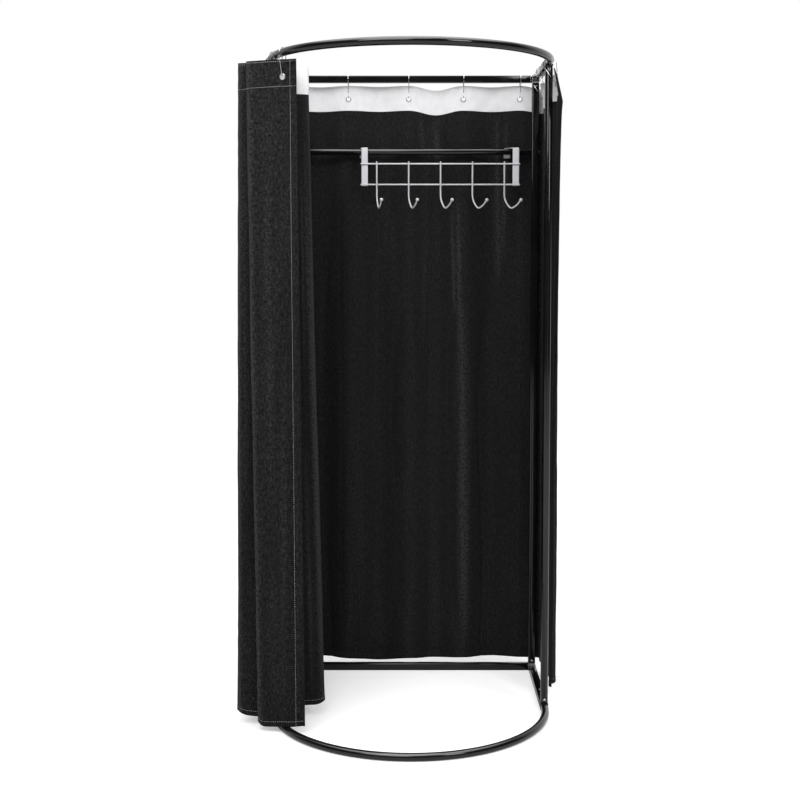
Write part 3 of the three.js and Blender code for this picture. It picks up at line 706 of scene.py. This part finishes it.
def stitch_tree(name, finish):
    """Sets a stitch at every pitch along a seam, flat on the cloth."""
    entries = [("Seam", "Geometry", None), *((label, "Float", value) for label, value in STITCH.items())]
    tree, start = new_tree(name, entries, "Stitches")
    curve = add_node(tree, "GeometryNodeMeshToCurve", {"Mesh": (start, "Seam")})
    spaced = tree.nodes.new("GeometryNodeResampleCurve")
    spaced.mode = "LENGTH"
    feed(tree, spaced, {"Curve": (curve, "Curve"), "Length": (start, "Pitch")})
    tangent = add_node(tree, "GeometryNodeInputTangent"), "Tangent"
    first = add_node(tree, "FunctionNodeAlignRotationToVector", {"Vector": tangent}, axis="X"), "Rotation"
    bead = add_node(tree, "GeometryNodeMeshIcoSphere", {"Radius": 0.5, "Subdivisions": 1})
    length, thick = (start, "Stitch length"), (start, "Thread size")
    size = add_node(tree, "ShaderNodeCombineXYZ", {"X": length, "Y": thick, "Z": thick})
    return end_tree(tree, finish, "Stitches", {
        "Points": (spaced, "Curve"),
        "Instance": (bead, "Mesh"),
        "Rotation": facing_turn(tree, {"Rotation": first}, pivot_axis="X"),
        "Scale": (size, "Vector"),
    })


PALE_STITCHES = stitch_tree("pale_stitches", PALE_THREAD)
SHADED_STITCHES = stitch_tree("dark_stitches", SHADED_THREAD)


def set_along(name, places, facings, tree, inputs, angle, edges=()):
    """What the tree makes of the places, as one plain mesh."""
    mesh = plain_mesh(name, places, edges=edges)
    facing = mesh.attributes.new("facing", "FLOAT_VECTOR", "POINT")
    facing.data.foreach_set("vector", np.asarray(facings, float).ravel())
    made = show(name, mesh)
    modifier = made.modifiers.new("set", "NODES")
    modifier.node_group = tree
    for item in tree.interface.items_tree:
        if item.item_type == "SOCKET" and item.name in inputs:
            modifier[item.identifier] = inputs[item.name]
    return finished(made, angle)


# Screws and bolts: the size and height of each kind's head, and its metal

HEADS = {
    "screw": (0.009, 0.0026, ZINC),
    "rail_bolt": (0.011, 0.0034, DARK_BOLT),
    "bar_bolt": (0.011, 0.0034, ZINC),
}


def screw_head(name, size, height, finish):
    """A pan head with a cross recess, standing on its seat and facing +Z."""
    radius, rim = size / 2, height * 0.35
    turn = np.linspace(0, math.pi / 2, 6)[1:]
    dome = [(radius * math.sin(a), rim + (height - rim) * math.cos(a)) for a in turn]
    profile = [(0.0, height * 0.98), *dome, (radius, 0.0), (0.0, 0.0)]
    shell = bmesh.new()
    line = [shell.verts.new((r, 0, z)) for r, z in profile]
    edges = [shell.edges.new(pair) for pair in zip(line, line[1:])]
    bmesh.ops.spin(shell, geom=line + edges, angle=2 * math.pi, steps=24, axis=(0, 0, 1), cent=(0, 0, 0))
    bmesh.ops.remove_doubles(shell, verts=shell.verts, dist=1e-6)
    bmesh.ops.recalc_face_normals(shell, faces=shell.faces)
    mesh = bpy.data.meshes.new(name)
    shell.to_mesh(mesh)
    shell.free()
    head = show(name, mesh, finish)
    for x, y in (RECESS, RECESS[::-1]):
        slot = box_between((-size * x, -size * y, rim), (size * x, size * y, height * 1.3))
        cut_out(head, "recess", [slot])
    return head


def head_way(node, middle):
    """The kind of head that a node has, and the way it faces."""
    if node.endswith("_bolt"):
        return "bar_bolt" if "bar" in node else "rail_bolt", (1 if middle.x > ROUND_X else -1, 0, 0)
    if node.endswith("_arc_screw"):
        return "screw", (0, 0, 1 if middle.z < HIGH_RAIL_Z / 2 else -1)
    if node.endswith("_upright_screw"):
        return "screw", (0, -1, 0)
    return None, None


def make_fasteners():
    rows = {kind: [] for kind in HEADS}
    for row in frame["record"]["subparts"]:
        low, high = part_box(row["node"])
        kind, way = head_way(row["node"], (low + high) / 2)
        if kind:
            reach = abs((high - low).dot(way)) / 2 - HEADS[kind][1]
            rows[kind].append((row["node"], (low + high) / 2 + Vector(way) * reach, way))
    for kind, (size, height, finish) in HEADS.items():
        head = screw_head(f"{kind}_head", size, height, finish)
        nodes, seats, ways = zip(*rows[kind])
        tree = instance_tree(f"set_{kind}s", finish)
        made = set_along(f"frame_{kind}s", seats, ways, tree, {"Template": head}, 40)
        bpy.data.objects.remove(head)
        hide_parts(*nodes)
        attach(made, "frame")


# Rack of coat hooks

def rounded_path(corners, radius, steps=6):
    """A line through corners with each bend rounded off."""
    corners = [np.asarray(c, float) for c in corners]
    path = [corners[0]]
    for before, corner, after in zip(corners, corners[1:], corners[2:]):
        first, last = (corner + unit(other - corner) * radius for other in (before, after))
        for t in np.linspace(0, 1, steps + 1):
            path.append((1 - t) ** 2 * first + 2 * t * (1 - t) * corner + t**2 * last)
    return [*path, corners[-1]]


def fit_rack_piece(made, node):
    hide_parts(node)
    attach(made, "rack")


def make_strap(node, x, lean):
    """A strip that curls round the lower wire and is bent over the hanging bar."""
    curl = RACK_WIRE / 2 + SEAT_GAP + STRAP_THICK / 2
    turn = np.linspace(math.radians(-STRAP_CURL), 0, 18)
    curled = [(RACK_Y + curl * math.cos(a), LOWER_WIRE_Z + curl * math.sin(a)) for a in turn]
    face_y = RACK_Y + curl
    back_y = face_y + STRAP_DEPTH + STRAP_THICK / 2
    top = BAR_Z + BAR_SIZE / 2 + SEAT_GAP + STRAP_THICK / 2
    corners = [curled[-1], (face_y, top), (back_y, top), (back_y, top - STRAP_BACK_DROP)]
    line = np.array([*curled[:-1], *rounded_path(corners, STRAP_BEND)])
    along = unit(np.gradient(line, axis=0))
    across = np.column_stack([along[:, 1], -along[:, 0]])
    points = []
    for place, way in zip(line, across):
        for side, face in ((-1, -1), (1, -1), (1, 1), (-1, 1)):
            y, z = place + way * face * STRAP_THICK / 2
            leaned = math.tan(math.radians(lean)) * max(y - face_y, 0)
            points.append(placed(x + side * STRAP_WIDTH / 2 - leaned, y, z))
    strap = joined(f"{node}_plate", [(points, closed_bar(len(line), 4))], ENAMEL)
    edge = strap.modifiers.new("edge", "BEVEL")
    edge.width = STRAP_EDGE
    edge.segments = 3
    edge.limit_method = "ANGLE"
    edge.angle_limit = math.radians(50)
    finished(strap)
    fit_rack_piece(strap, node)


def ball(centre, size):
    shell = bmesh.new()
    bmesh.ops.create_uvsphere(shell, u_segments=24, v_segments=16, radius=size / 2)
    points = [np.array(v.co) + centre for v in shell.verts]
    faces = [[v.index for v in f.verts] for f in shell.faces]
    shell.free()
    return points, faces


def make_coat_hook(node, x, turn):
    y = RACK_Y - RACK_WIRE - SEAT_GAP
    way = np.array((math.sin(math.radians(turn)), -math.cos(math.radians(turn)), 0))
    top = UPPER_WIRE_Z + RACK_WIRE
    drop = top - COAT_HOOK_BOTTOM
    bend = np.array([placed(x, y, COAT_HOOK_BOTTOM + rise * drop) + way * reach * COAT_HOOK_REACH
                     for reach, rise in COAT_HOOK_BEND])
    curve = smooth_line(bend, np.linspace(0, 1, 49))
    shank = [placed(x, y, z) for z in np.linspace(top, bend[0][2], 8)][:-1]
    wire = wire_along(np.vstack([shank, curve]), np.cross(way, (0, 0, 1)), RACK_WIRE, WIRE_SIDES)
    tip = (*bend[-1][:2], COAT_HOOK_TIP)
    fit_rack_piece(joined(f"{node}_wire", [wire, ball(tip, COAT_HOOK_BALL)], ENAMEL), node)


def make_rack():
    for node, x, lean in zip(("rack_left_strap", "rack_right_strap"), STRAP_X, STRAP_LEANS):
        make_strap(node, x, lean)
    over = STRAP_WIDTH / 2 + WIRE_OVERHANG - RACK_WIRE / 2
    for node, z in (("rack_upper_wire", UPPER_WIRE_Z), ("rack_lower_wire", LOWER_WIRE_Z)):
        ends = placed(STRAP_X[0] - over, RACK_Y, z), placed(STRAP_X[1] + over, RACK_Y, z)
        wire = wire_along(ends, (0, 0, 1), RACK_WIRE, WIRE_SIDES)
        fit_rack_piece(joined(f"{node}_rod", [wire], ENAMEL), node)
    for number, (x, turn) in enumerate(zip(COAT_HOOK_X, COAT_HOOK_TURNS), 1):
        make_coat_hook(f"coat_hook_{number}", x, turn)


# Where the cloth hangs

def surround_stations():
    """Side, place along it and kind of each point that the surround curtain goes through."""
    def hung(side, shares, reach):
        rows = [(side, shares[0] * reach, "near")]
        for last, share in zip(shares, shares[1:]):
            rows += [(side, (share + last) / 2 * reach, "far"), (side, share * reach, "near")]
        return rows

    return [
        ("right", RIGHT_EDGE * ARC_RADIUS, "edge"),
        *hung("right", RIGHT_HOOKS, REAR_Y),
        ("right", REAR_Y, "corner"),
        *hung("rear", REAR_HOOKS, ARC_RADIUS),
        ("left", REAR_Y, "corner"),
        *hung("left", LEFT_HOOKS, REAR_Y),
        ("left", (LEFT_HOOKS[-1] + LEFT_END) / 2 * REAR_Y, "far"),
        ("left", LEFT_END * REAR_Y, "end"),
    ]


STATIONS = surround_stations()


def station_point(station, drop):
    side, along, kind = station
    offset = float(np.interp(drop, (0, SEAM_SHARE, 1), OFFSETS[kind]))
    if side == "rear":
        return along, REAR_Y + offset
    sign = 1 if side == "right" else -1
    if kind == "corner":
        return sign * (ARC_RADIUS + offset), REAR_Y + offset
    below = max(drop - SEAM_SHARE, 0) / (1 - SEAM_SHARE)
    drawn = HEM_DRAW * math.sqrt(below) if sign > 0 else 0
    return sign * (ARC_RADIUS + offset), REAR_Y + (along - REAR_Y) * (1 - drawn)


def surround_points(drop):
    return [station_point(station, drop) for station in STATIONS]


def bunch_point(run, out):
    y = -run * BUNCH_RUN
    return -math.sqrt(ARC_RADIUS**2 - y**2) - out * FOLD_REACH, y


def fold_edges():
    """Each edge of a fold's tip: its place along the bunch, and the fold's number."""
    for number, (run, _, _, width) in enumerate(BUNCH_FOLDS):
        half = width * FOLD_TIP / BUNCH_RUN
        yield from [(run - half, number), (run + half, number)] if half else [(run, number)]


def bunch_points(drop):
    x, y = station_point(STATIONS[-1], drop)
    points = [(x, y - SEAT_GAP), (x, y - SEAT_GAP - BUNCH_LEAD_IN)]
    outs = [top_out + (hem_out - top_out) * drop for _, top_out, hem_out, *_ in (*BUNCH_FOLDS, FREE_EDGE)]
    points += [bunch_point(run, outs[number]) for run, number in fold_edges()]
    return [*points, bunch_point(FREE_EDGE[0], outs[-1])]


# Hooks: a row is the node, its share of the way along the cloth, its place and its body

def hook_place(x, y, outward, eye_out, is_round):
    """A hook on the rail at x, y whose eye hangs eye_out further outward."""
    inner = HOOK_LOOP - HOOK_WIRE / 2 - HOOK_CLEARANCE
    half = TUBE / 2
    flat = half - RAIL_CORNER
    drop = inner - half if is_round else math.sqrt((inner - RAIL_CORNER) ** 2 - flat**2) - flat
    tilt = math.asin(eye_out / HOOK_LENGTH)
    outward, upright = np.array((*outward, 0.0)), np.array((0, 0, 1))
    centre = placed(x, y, HIGH_RAIL_Z - drop)
    wire_z = centre[2] - HOOK_LENGTH * math.cos(tilt)
    return {
        "across": outward * math.cos(tilt) + upright * math.sin(tilt),
        "upward": upright * math.cos(tilt) - outward * math.sin(tilt),
        "centre": centre,
        "eyelet_z": wire_z + HOOK_WIRE / 2 + EYELET_SLACK - EYELET_RADIUS * math.cos(math.pi / EYELET_SIDES),
    }


def surround_hooks():
    hooks = []
    counts = {"right": 0, "rear": 0, "left": 0}
    top, seam, _ = OFFSETS["near"]
    eye_out = top + (seam - top) * EYELET_DROP / HEADER
    for span, (side, along, kind) in enumerate(STATIONS):
        if kind != "near":
            continue
        counts[side] += 1
        if side == "rear":
            place = hook_place(along, REAR_Y, (0, 1), eye_out, False)
        else:
            sign = 1 if side == "right" else -1
            place = hook_place(sign * ARC_RADIUS, along, (sign, 0), eye_out, along < 0)
        hooks.append((f"{side}_curtain_hook_{counts[side]}", span / (len(STATIONS) - 1), place, "frame"))
    return hooks


def front_hooks():
    spans = len(bunch_points(0)) - 1
    folds = [fold for _, fold in fold_edges()]
    hooks = []
    for number, (run, top_out, _, width) in enumerate(BUNCH_FOLDS):
        if top_out:
            continue
        share = (2 + folds.index(number) + (folds.count(number) - 1) / 2) / spans
        top, seam = (smooth_line(bunch_points(drop), [share])[0] for drop in (0, SEAM_SHARE))
        x, y = bunch_point(run, 0)
        angle = math.atan2(-y, -x) + (0 if width else HOOK_TURN)
        outward = np.array((-math.cos(angle), -math.sin(angle)))
        eye_out = float((top + (seam - top) * EYELET_DROP / HEADER - (x, y)) @ outward)
        name = len(hooks) + 1
        body = "curtain_lead" if name == LAST_HOOK else f"front_hook_{name}"
        place = hook_place(x, y, outward, eye_out, True)
        hooks.append((f"front_curtain_hook_{name}", share, place, body))
    return hooks


def hook_line():
    """The pear-shaped wire, flat: down one leg, round the rail, down the other and through the eyelet."""
    span = HOOK_LENGTH - HOOK_EYE
    slope = math.asin((HOOK_LOOP - HOOK_EYE) / span)

    def on_leg(side, down):
        way = np.array((side * math.cos(slope), -math.sin(slope)))
        return way * HOOK_LOOP * (1 - down) + (way * HOOK_EYE - np.array((0, span))) * down

    def around(first, last, steps, size, drop):
        turn = np.linspace(first, last, steps)[1:]
        return [np.array((math.cos(a) * size, math.sin(a) * size - drop)) for a in turn]

    return np.array([
        *(on_leg(-1, d) for d in np.linspace(0.66, 0, 8)),
        *around(math.pi + slope, -slope, 34, HOOK_LOOP, 0),
        *(on_leg(1, d) for d in np.linspace(0, 1, 12)[1:]),
        *around(-slope, -math.pi + slope, 12, HOOK_EYE, span),
        *(on_leg(-1, d) for d in (0.95, 0.9)),
    ])


def make_curtain_hooks(hooks):
    line = hook_line()
    for node, _, place, body in hooks:
        points = place["centre"] + line[:, :1] * place["across"] + line[:, 1:] * place["upward"]
        side = np.cross(place["across"], place["upward"])
        hook = joined(f"{node}_wire", [wire_along(points, side, HOOK_WIRE, HOOK_SIDES)], WIRE)
        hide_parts(node)
        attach(hook, body)


# Cloth sheets

def drop_rows():
    """How far down each row of the cloth lies, and which row is the header's seam.

    Rows are closer together round the eyelets, and on both sides of where the hem gets thick."""
    header = np.r_[0:0.03:0.006, 0.03:0.068:0.003, 0.068:HEADER:0.0057]
    body = np.linspace(HEADER, CLOTH_LENGTH - HEM - 0.004, 74)
    hem = CLOTH_LENGTH - np.array((HEM + 0.001, HEM - 0.001, HEM / 2, 0.001, 0))
    rows = np.concatenate([header[header < HEADER - 0.003], body, hem])
    return rows, int(np.searchsorted(rows, HEADER - 1e-6))


def soft_noise(u, v, scales, seed):
    flat = [noise.noise((a * scales[0], b * scales[1], seed)) for a, b in zip(u.ravel(), v.ravel())]
    return np.array(flat).reshape(u.shape)


def eased(values, shares):
    """Values of evenly spaced stations, level at each of them and smooth between."""
    values = np.asarray(values, float)
    first, past = nearest_stations(shares, len(values))
    blend = (1 - np.cos(past * math.pi)) / 2
    return values[first] * (1 - blend) + values[first + 1] * blend


def bunch_sags():
    return [(0, 0), (0, 0), *(BUNCH_SAGS[fold] for _, fold in fold_edges()), FREE_EDGE_SAG]


def crease_heights(u, v, creases):
    heights = np.zeros_like(u)
    for middle, first, last, height, half, drift in creases:
        down = (v * 1000 - first) / (last - first)
        fade = np.sin(np.clip(down, 0, 1) * math.pi) ** 0.6
        away = (u - middle / 1000 - drift / 1000 * down) / (half / 1000)
        heights += height / 1000 * fade * np.exp(-away**2)
    return heights


def hang(points_at, columns, sags, creases, ripple, top_light, seed, places=None):
    """The cloth's middle surface as rows of points, with outward ways, and distances along and down it.

    Creases lie along the cloth, or where places says."""
    drops, seam_row = drop_rows()
    shares = np.linspace(0, 1, columns + 1)
    plan = np.array([smooth_line(points_at(d / CLOTH_LENGTH), shares) for d in drops])
    along = unit(np.gradient(plan, axis=1))
    outward = np.dstack([along[..., 1], -along[..., 0]])
    steps = np.linalg.norm(np.diff(plan, axis=1), axis=2)
    reach = np.concatenate([[0], np.cumsum(steps.mean(axis=0))])
    u = np.broadcast_to(reach, plan.shape[:2])
    v = np.broadcast_to(drops[:, None], plan.shape[:2])

    # Waves and ridges grow below the top edge, small ones sooner, and creases press the cloth in
    grown = np.clip((v - WAVES_FROM) / WAVES_GROW, 0, 1)
    ridges = 1 - 2 * np.abs(soft_noise(u, v, RIDGE_GRAIN, seed + 3))
    small = soft_noise(u, v, SMALL_GRAIN, seed + 5)
    folds = crease_heights(places(plan) if places else u, v, creases)
    waves = soft_noise(u, v, WAVE_GRAIN, seed) * ripple * grown
    waves += np.clip(ridges - RIDGE_FROM, 0, 1) * ripple * RIDGE_HEIGHT * grown
    waves += small * ripple * SMALL_HEIGHT * np.clip(v / 0.12, 0.15, 1)
    waves += soft_noise(u, v, FUZZ_GRAIN, seed + 9) * FUZZ_HEIGHT - folds

    # Painted light: the dye is made lighter on creases, ridges, wave crests and tight bends as painted
    # highlights, and lighter towards the top as painted light from above
    bend = np.linalg.norm(np.gradient(along, axis=1), axis=2) / np.maximum(np.gradient(reach), 1e-5)
    worn = np.clip(folds / CREASE_HIGHLIGHT, 0, 1) + np.clip(ridges - RIDGE_HIGHLIGHT_FROM, 0, 1) * RIDGE_HIGHLIGHT * grown
    worn += np.clip(small, 0, 1) * WAVE_HIGHLIGHT + np.clip(bend / SHARP_BEND - 0.1, 0, 1) * BEND_HIGHLIGHT
    worn += np.clip(1 - v / TOP_LIGHT_DROP, 0, 1) * top_light

    low = v / CLOTH_LENGTH
    top_sag, hem_sag = (eased([sag[k] / 1000 for sag in sags], shares)[None, :] for k in (0, 1))
    height = CLOTH_TOP - v - top_sag * (1 - low) - hem_sag * low
    plan = plan + outward * waves[..., None] + (ROUND_X, ROUND_Y)
    return {
        "surface": np.dstack([plan, height]),
        "ways": np.dstack([outward, np.zeros(v.shape)]),
        "u": u,
        "v": v,
        "worn": worn,
        "seam_row": seam_row,
        "reach": reach,
    }


def rear_places(plan):
    """Where each point of the cloth lies across the rear wall, and far off on the side walls."""
    across = np.where(plan[0, :, 1] > REAR_Y, plan[0, :, 0], FAR_OFF)
    return np.broadcast_to(across, plan.shape[:2])


def curl_hem(cloth):
    """Lifts the hem where the cloth turns back on itself, as a stiff sewn hem does."""
    bend = np.linalg.norm(np.gradient(cloth["ways"][-1], axis=0), axis=1) / np.gradient(cloth["reach"])
    near = np.bartlett(CURL_COLUMNS)
    tips = np.convolve(np.clip(bend / SHARP_BEND, 0, 1), near / near.sum(), "same")
    cloth["surface"][..., 2] += HEM_CURL * tips * (cloth["v"] / CLOTH_LENGTH) ** CURL_FADE


def share_pattern(cloth, start, end):
    """Measures the weave halfway between the cloth's length at rest and drawn out, so it fits both."""
    x, y, _ = cloth["surface"][len(cloth["surface"]) // 2].T
    share = np.clip((start.y - y) / (start.y - end.y), 0, 1)
    turn = share**2 * (3 - 2 * share) * CURTAIN_TURN
    turned = (x - ROUND_X + 1j * (y - ROUND_Y)) * np.exp(1j * turn)
    drawn = np.concatenate([[0], np.cumsum(np.abs(np.diff(turned)))])
    cloth["u"] = (cloth["u"] + drawn) / 2


def eyelets(cloth, hooks):
    """Body, middle, along and outward ways of each eyelet."""
    found = []
    rows, seam = cloth["surface"], cloth["seam_row"]
    for _, share, place, body in hooks:
        column = share * (rows.shape[1] - 1)
        left = min(int(column), rows.shape[1] - 2)
        t = column - left
        line = rows[:seam + 1, left] * (1 - t) + rows[:seam + 1, left + 1] * t
        middle = np.array([np.interp(-place["eyelet_z"], -line[:, 2], line[:, k]) for k in range(3)])
        middle[2] = place["eyelet_z"]
        row = int(np.argmin(np.abs(line[:, 2] - middle[2])))
        out = cloth["ways"][row, left]
        found.append((body, middle, np.cross((0, 0, 1), out), out))
    return found


def sheet_mesh(name, cloth, part, offset, eyes):
    """A part of the cloth's rows and columns as a mesh, moved outward by offset, with its eyelets open."""
    surface = cloth["surface"][part] + cloth["ways"][part] * offset
    rows, columns = surface.shape[:2]
    cut = np.zeros((rows, columns), bool)
    for _, middle, along, out in eyes:
        away = surface - (middle + out * offset)
        flat = np.dstack([away @ along, away[..., 2]])
        distance = np.linalg.norm(flat, axis=2)
        near = (distance < EYELET_RADIUS) & (np.abs(away @ out) < EYELET_DEPTH)
        push = (EYELET_RADIUS - distance)[near] / np.maximum(distance[near], 1e-5)
        surface[near] += (flat[near][:, :1] * along + flat[near][:, 1:] * np.array((0, 0, 1))) * push[:, None]
        cut |= near
    index = np.arange(rows * columns).reshape(rows, columns)
    corners = np.dstack([index[:-1, :-1], index[1:, :-1], index[1:, 1:], index[:-1, 1:]]).reshape(-1, 4)
    corners = corners[~cut.ravel()[corners].all(axis=1)]
    used = np.unique(corners)
    mesh = plain_mesh(name, surface.reshape(-1, 3)[used], np.searchsorted(used, corners))
    # Painted highlights and painted light from above, kept on each point for the cloth's material
    worn = mesh.attributes.new("worn", "FLOAT", "POINT")
    worn.data.foreach_set("value", cloth["worn"][part].ravel()[used])
    uv = np.dstack([cloth["u"][part], -cloth["v"][part]]).reshape(-1, 2)[corners.ravel()]
    mesh.uv_layers.new(name="along_cloth").data.foreach_set("uv", uv.ravel())
    mesh.update()
    return mesh


def thickened(made, thickness, shares):
    """Gives a sheet its thickness, of which each point takes its share."""
    group = made.vertex_groups.new(name="cloth")
    for vertex, share in zip(made.data.vertices, shares):
        group.add([vertex.index], share, "REPLACE")
    wall = made.modifiers.new("thickness", "SOLIDIFY")
    wall.thickness = thickness
    wall.offset = 0
    wall.use_even_offset = False
    wall.vertex_group = "cloth"
    wall.material_offset = 1
    wall.material_offset_rim = 0
    finished(made, 60)
    made.vertex_groups.clear()


def hem_shares(mesh, cloth, open_ends):
    """Full thickness where the hems are folded over, and a lesser share elsewhere."""
    reach = cloth["reach"]
    first, last = np.interp((SIDE_HEM, reach[-1] - SIDE_HEM), reach, cloth["u"][0])
    shares = [HEM_SHARE] * len(mesh.vertices)
    for loop, point in zip(mesh.loops, mesh.uv_layers["along_cloth"].data):
        u, v = point.uv
        if -v > CLOTH_LENGTH - HEM or (u > last and open_ends[1]) or (u < first and open_ends[0]):
            shares[loop.vertex_index] = 1.0
    return shares


def make_sheet(name, cloth, node, eyes, open_ends):
    mesh = sheet_mesh(name, cloth, np.s_[:, :], 0, eyes)
    made = show(name, mesh, DENIM_FACE, DENIM_BACK)
    thickened(made, CLOTH_THICK / HEM_SHARE, hem_shares(mesh, cloth, open_ends))
    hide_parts(node)
    return made


def make_header(name, cloth, node, eyes, open_ends):
    offset = -(CLOTH_THICK + HEADER_THICK) / 2 - SEAT_GAP
    reach = cloth["reach"]
    first, last = np.searchsorted(reach, (SIDE_HEM * open_ends[0], reach[-1] - SIDE_HEM * open_ends[1]))
    mesh = sheet_mesh(name, cloth, np.s_[:cloth["seam_row"] + 1, first:last + 1], offset, eyes)
    made = show(name, mesh, CANVAS, CANVAS)
    thickened(made, HEADER_THICK, [1.0] * len(mesh.vertices))
    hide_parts(node)
    return made


# Stitches: a seam is its points and the way that it faces at each of them

def sewn_on(points, facing):
    return points + facing * (CLOTH_THICK / 2 + STITCH_OUT), facing


def seam_across(cloth, drop, face=1):
    drops = cloth["v"][:, 0]
    row = np.clip(np.interp(drop, drops, np.arange(len(drops))), 0, len(drops) - 1.001)
    above, t = int(row), row - int(row)
    surface = cloth["surface"]
    return sewn_on(surface[above] * (1 - t) + surface[above + 1] * t, cloth["ways"][above] * face)


def seam_down(cloth, place):
    column = np.interp(place, cloth["reach"], np.arange(len(cloth["reach"])))
    left, t = int(column), column - int(column)
    surface = cloth["surface"]
    return sewn_on(surface[:, left] * (1 - t) + surface[:, left + 1] * t, cloth["ways"][:, left])


def make_stitches(name, seams, tree):
    points, facings, edges = [], [], []
    for seam_points, seam_facings in seams:
        start = len(points)
        points.extend(seam_points)
        facings.extend(seam_facings)
        edges.extend((i, i + 1) for i in range(start, len(points) - 1))
    made = set_along(name, points, facings, tree, STITCH, 60, edges)
    return made


# Eyelet rings

def ring_template():
    """A rolled ring, thicker across than through, that grips both faces of the cloth."""
    around = np.linspace(0, 2 * math.pi, 28, endpoint=False)
    points = [(r * math.cos(a), r * math.sin(a), z) for a in around for r, z in RING_SECTION]
    faces = [[i % len(points) for i in face] for face in between_rows(len(around) + 1, len(RING_SECTION))]
    return show("ring_template", mesh_of("ring_template", points, faces, 80), EYELET_METAL)


def make_rings(name, eyes, template, tree, body):
    middles, ways = [e[1] - e[3] * RING_SETBACK for e in eyes], [e[3] for e in eyes]
    made = set_along(name, middles, ways, tree, {"Template": template}, 40)
    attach(made, body)
    return made


# Curtains

def sew(kind, cloth, eyes, open_ends, side_seam, thread_inside):
    """The cloth, header and stitches of a curtain."""
    sheet = make_sheet(f"{kind}_cloth", cloth, f"{kind}_curtain", eyes, open_ends)
    header = make_header(f"{kind}_header", cloth, f"{kind}_header_tape", eyes, open_ends)
    hem = CLOTH_LENGTH - HEM + SEAM_INSET
    seams = [seam_across(cloth, drop) for drop in (TOP_SEAM, HEADER - SEAM_INSET, hem)]
    seams.append(seam_down(cloth, side_seam))
    outer = make_stitches(f"{kind}_outer_stitches", seams, PALE_STITCHES)
    inner = make_stitches(f"{kind}_inner_stitches", [seam_across(cloth, hem, -1)], thread_inside)
    return sheet, header, outer, inner


def make_curtains():
    round_hooks, bunch_hooks = surround_hooks(), front_hooks()
    make_curtain_hooks(round_hooks + bunch_hooks)
    ring, ring_tree = ring_template(), instance_tree("set_rings", EYELET_METAL)
    side_seam = SIDE_HEM - SEAM_INSET

    # The top_light value sets how strongly painted light from above lightens the top of each curtain
    surround = hang(surround_points, SURROUND_COLUMNS, SURROUND_SAGS, REAR_CREASES,
                    ripple=0.005, top_light=0.1, seed=3.0, places=rear_places)
    eyes = eyelets(surround, round_hooks)
    # The surround's inside hem is sewn with the pale thread's darker copy, which is painted shade
    made = sew("surround", surround, eyes, (True, False), side_seam, SHADED_STITCHES)
    for piece in made:
        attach(piece, "frame")
    rings = make_rings("surround_rings", eyes, ring, ring_tree, "frame")

    start, end = (Vector((ROUND_X, ROUND_Y + y, 1)) for y in (BLEND_START, BLEND_END))
    bunch = hang(bunch_points, BUNCH_COLUMNS, bunch_sags(), FRONT_CREASES,
                 ripple=0.003, top_light=0.35, seed=11.0)
    curl_hem(bunch)
    share_pattern(bunch, start, end)
    eyes = eyelets(bunch, bunch_hooks)
    made = sew("front", bunch, eyes, (False, True), bunch["reach"][-1] - side_seam, PALE_STITCHES)
    for piece in made:
        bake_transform(piece)
    rings = [make_rings(f"front_ring_{i}", [eye], ring, ring_tree, eye[0]) for i, eye in enumerate(eyes, 1)]
    bpy.data.objects.remove(ring)


# Floor, backdrop and lights

def camera_white(tree):
    """1 for what the camera sees directly or through glass, 0 for what only lights the room."""
    rays = tree.nodes.new("ShaderNodeLightPath")
    return maths(tree, "MAXIMUM", (rays, "Is Camera Ray"), (rays, "Is Transmission Ray"))


def make_floor():
    made, tree, shader = material("pale_floor")
    cloud = grain(tree, mapped(tree, "Object"), scale=3, detail=3)
    feed(tree, shader, {
        "Base Color": cloudy(tree, cloud, (0.84, 0.84, 0.845), (0.86, 0.86, 0.865)),
        "Emission Color": (1, 1, 1, 1),
        "Emission Strength": maths(tree, "MULTIPLY", camera_white(tree), FLOOR_GLOW),
        "Roughness": 0.9,
    })
    corners = [(x * FLOOR_REACH, y * FLOOR_REACH, 0) for x, y in ((-1, -1), (1, -1), (1, 1), (-1, 1))]
    show("floor", plain_mesh("floor", corners, [(0, 1, 2, 3)]), made)


def make_world():
    """White for the camera, and softer light with a bright band overhead and behind in glossy faces."""
    world = bpy.data.worlds.new("studio")
    SETTINGS.world = world
    world.use_nodes = True
    tree = world.node_tree
    source = add_node(tree, "ShaderNodeTexCoord")
    way = add_node(tree, "ShaderNodeSeparateXYZ", {"Vector": (source, "Generated")})
    soft = spread(tree, (way, "Z"), 0.35, 0.9, first=0.0, last=0.9)
    overhead = spread(tree, (way, "Z"), 0.03, 9.0, first=0.66, last=1.0)
    backdrop = spread(tree, (way, "Y"), 0.0, 1.0, first=0.1, last=0.5)
    mirrored = maths(tree, "MAXIMUM", overhead, backdrop)
    rays = tree.nodes.new("ShaderNodeLightPath")
    shares = {"Factor": (rays, "Is Glossy Ray"), "A": soft, "B": mirrored}
    glow = add_node(tree, "ShaderNodeMix", shares, data_type="FLOAT"), "Result"
    strength = maths(tree, "MAXIMUM", camera_white(tree), glow)
    feed(tree, tree.nodes["Background"], {"Color": (1, 1, 1, 1), "Strength": strength})


def add_lamp(name, place, aim, size, power):
    lamp = bpy.data.lights.new(name, "AREA")
    lamp.shape = "RECTANGLE"
    lamp.size, lamp.size_y = size
    lamp.energy = power
    holder = bpy.data.objects.new(name, lamp)
    SETTINGS.collection.objects.link(holder)
    holder.location = place
    way = Vector(aim) - Vector(place)
    holder.rotation_euler = way.to_track_quat("-Z", "Y").to_euler()


def make_studio():
    make_floor()
    make_world()
    for name, values in LAMPS.items():
        add_lamp(name, *values)
    SETTINGS.view_settings.view_transform = "Standard"


set_camera()
make_frame()
make_fasteners()
make_rack()
make_curtains()
make_studio()
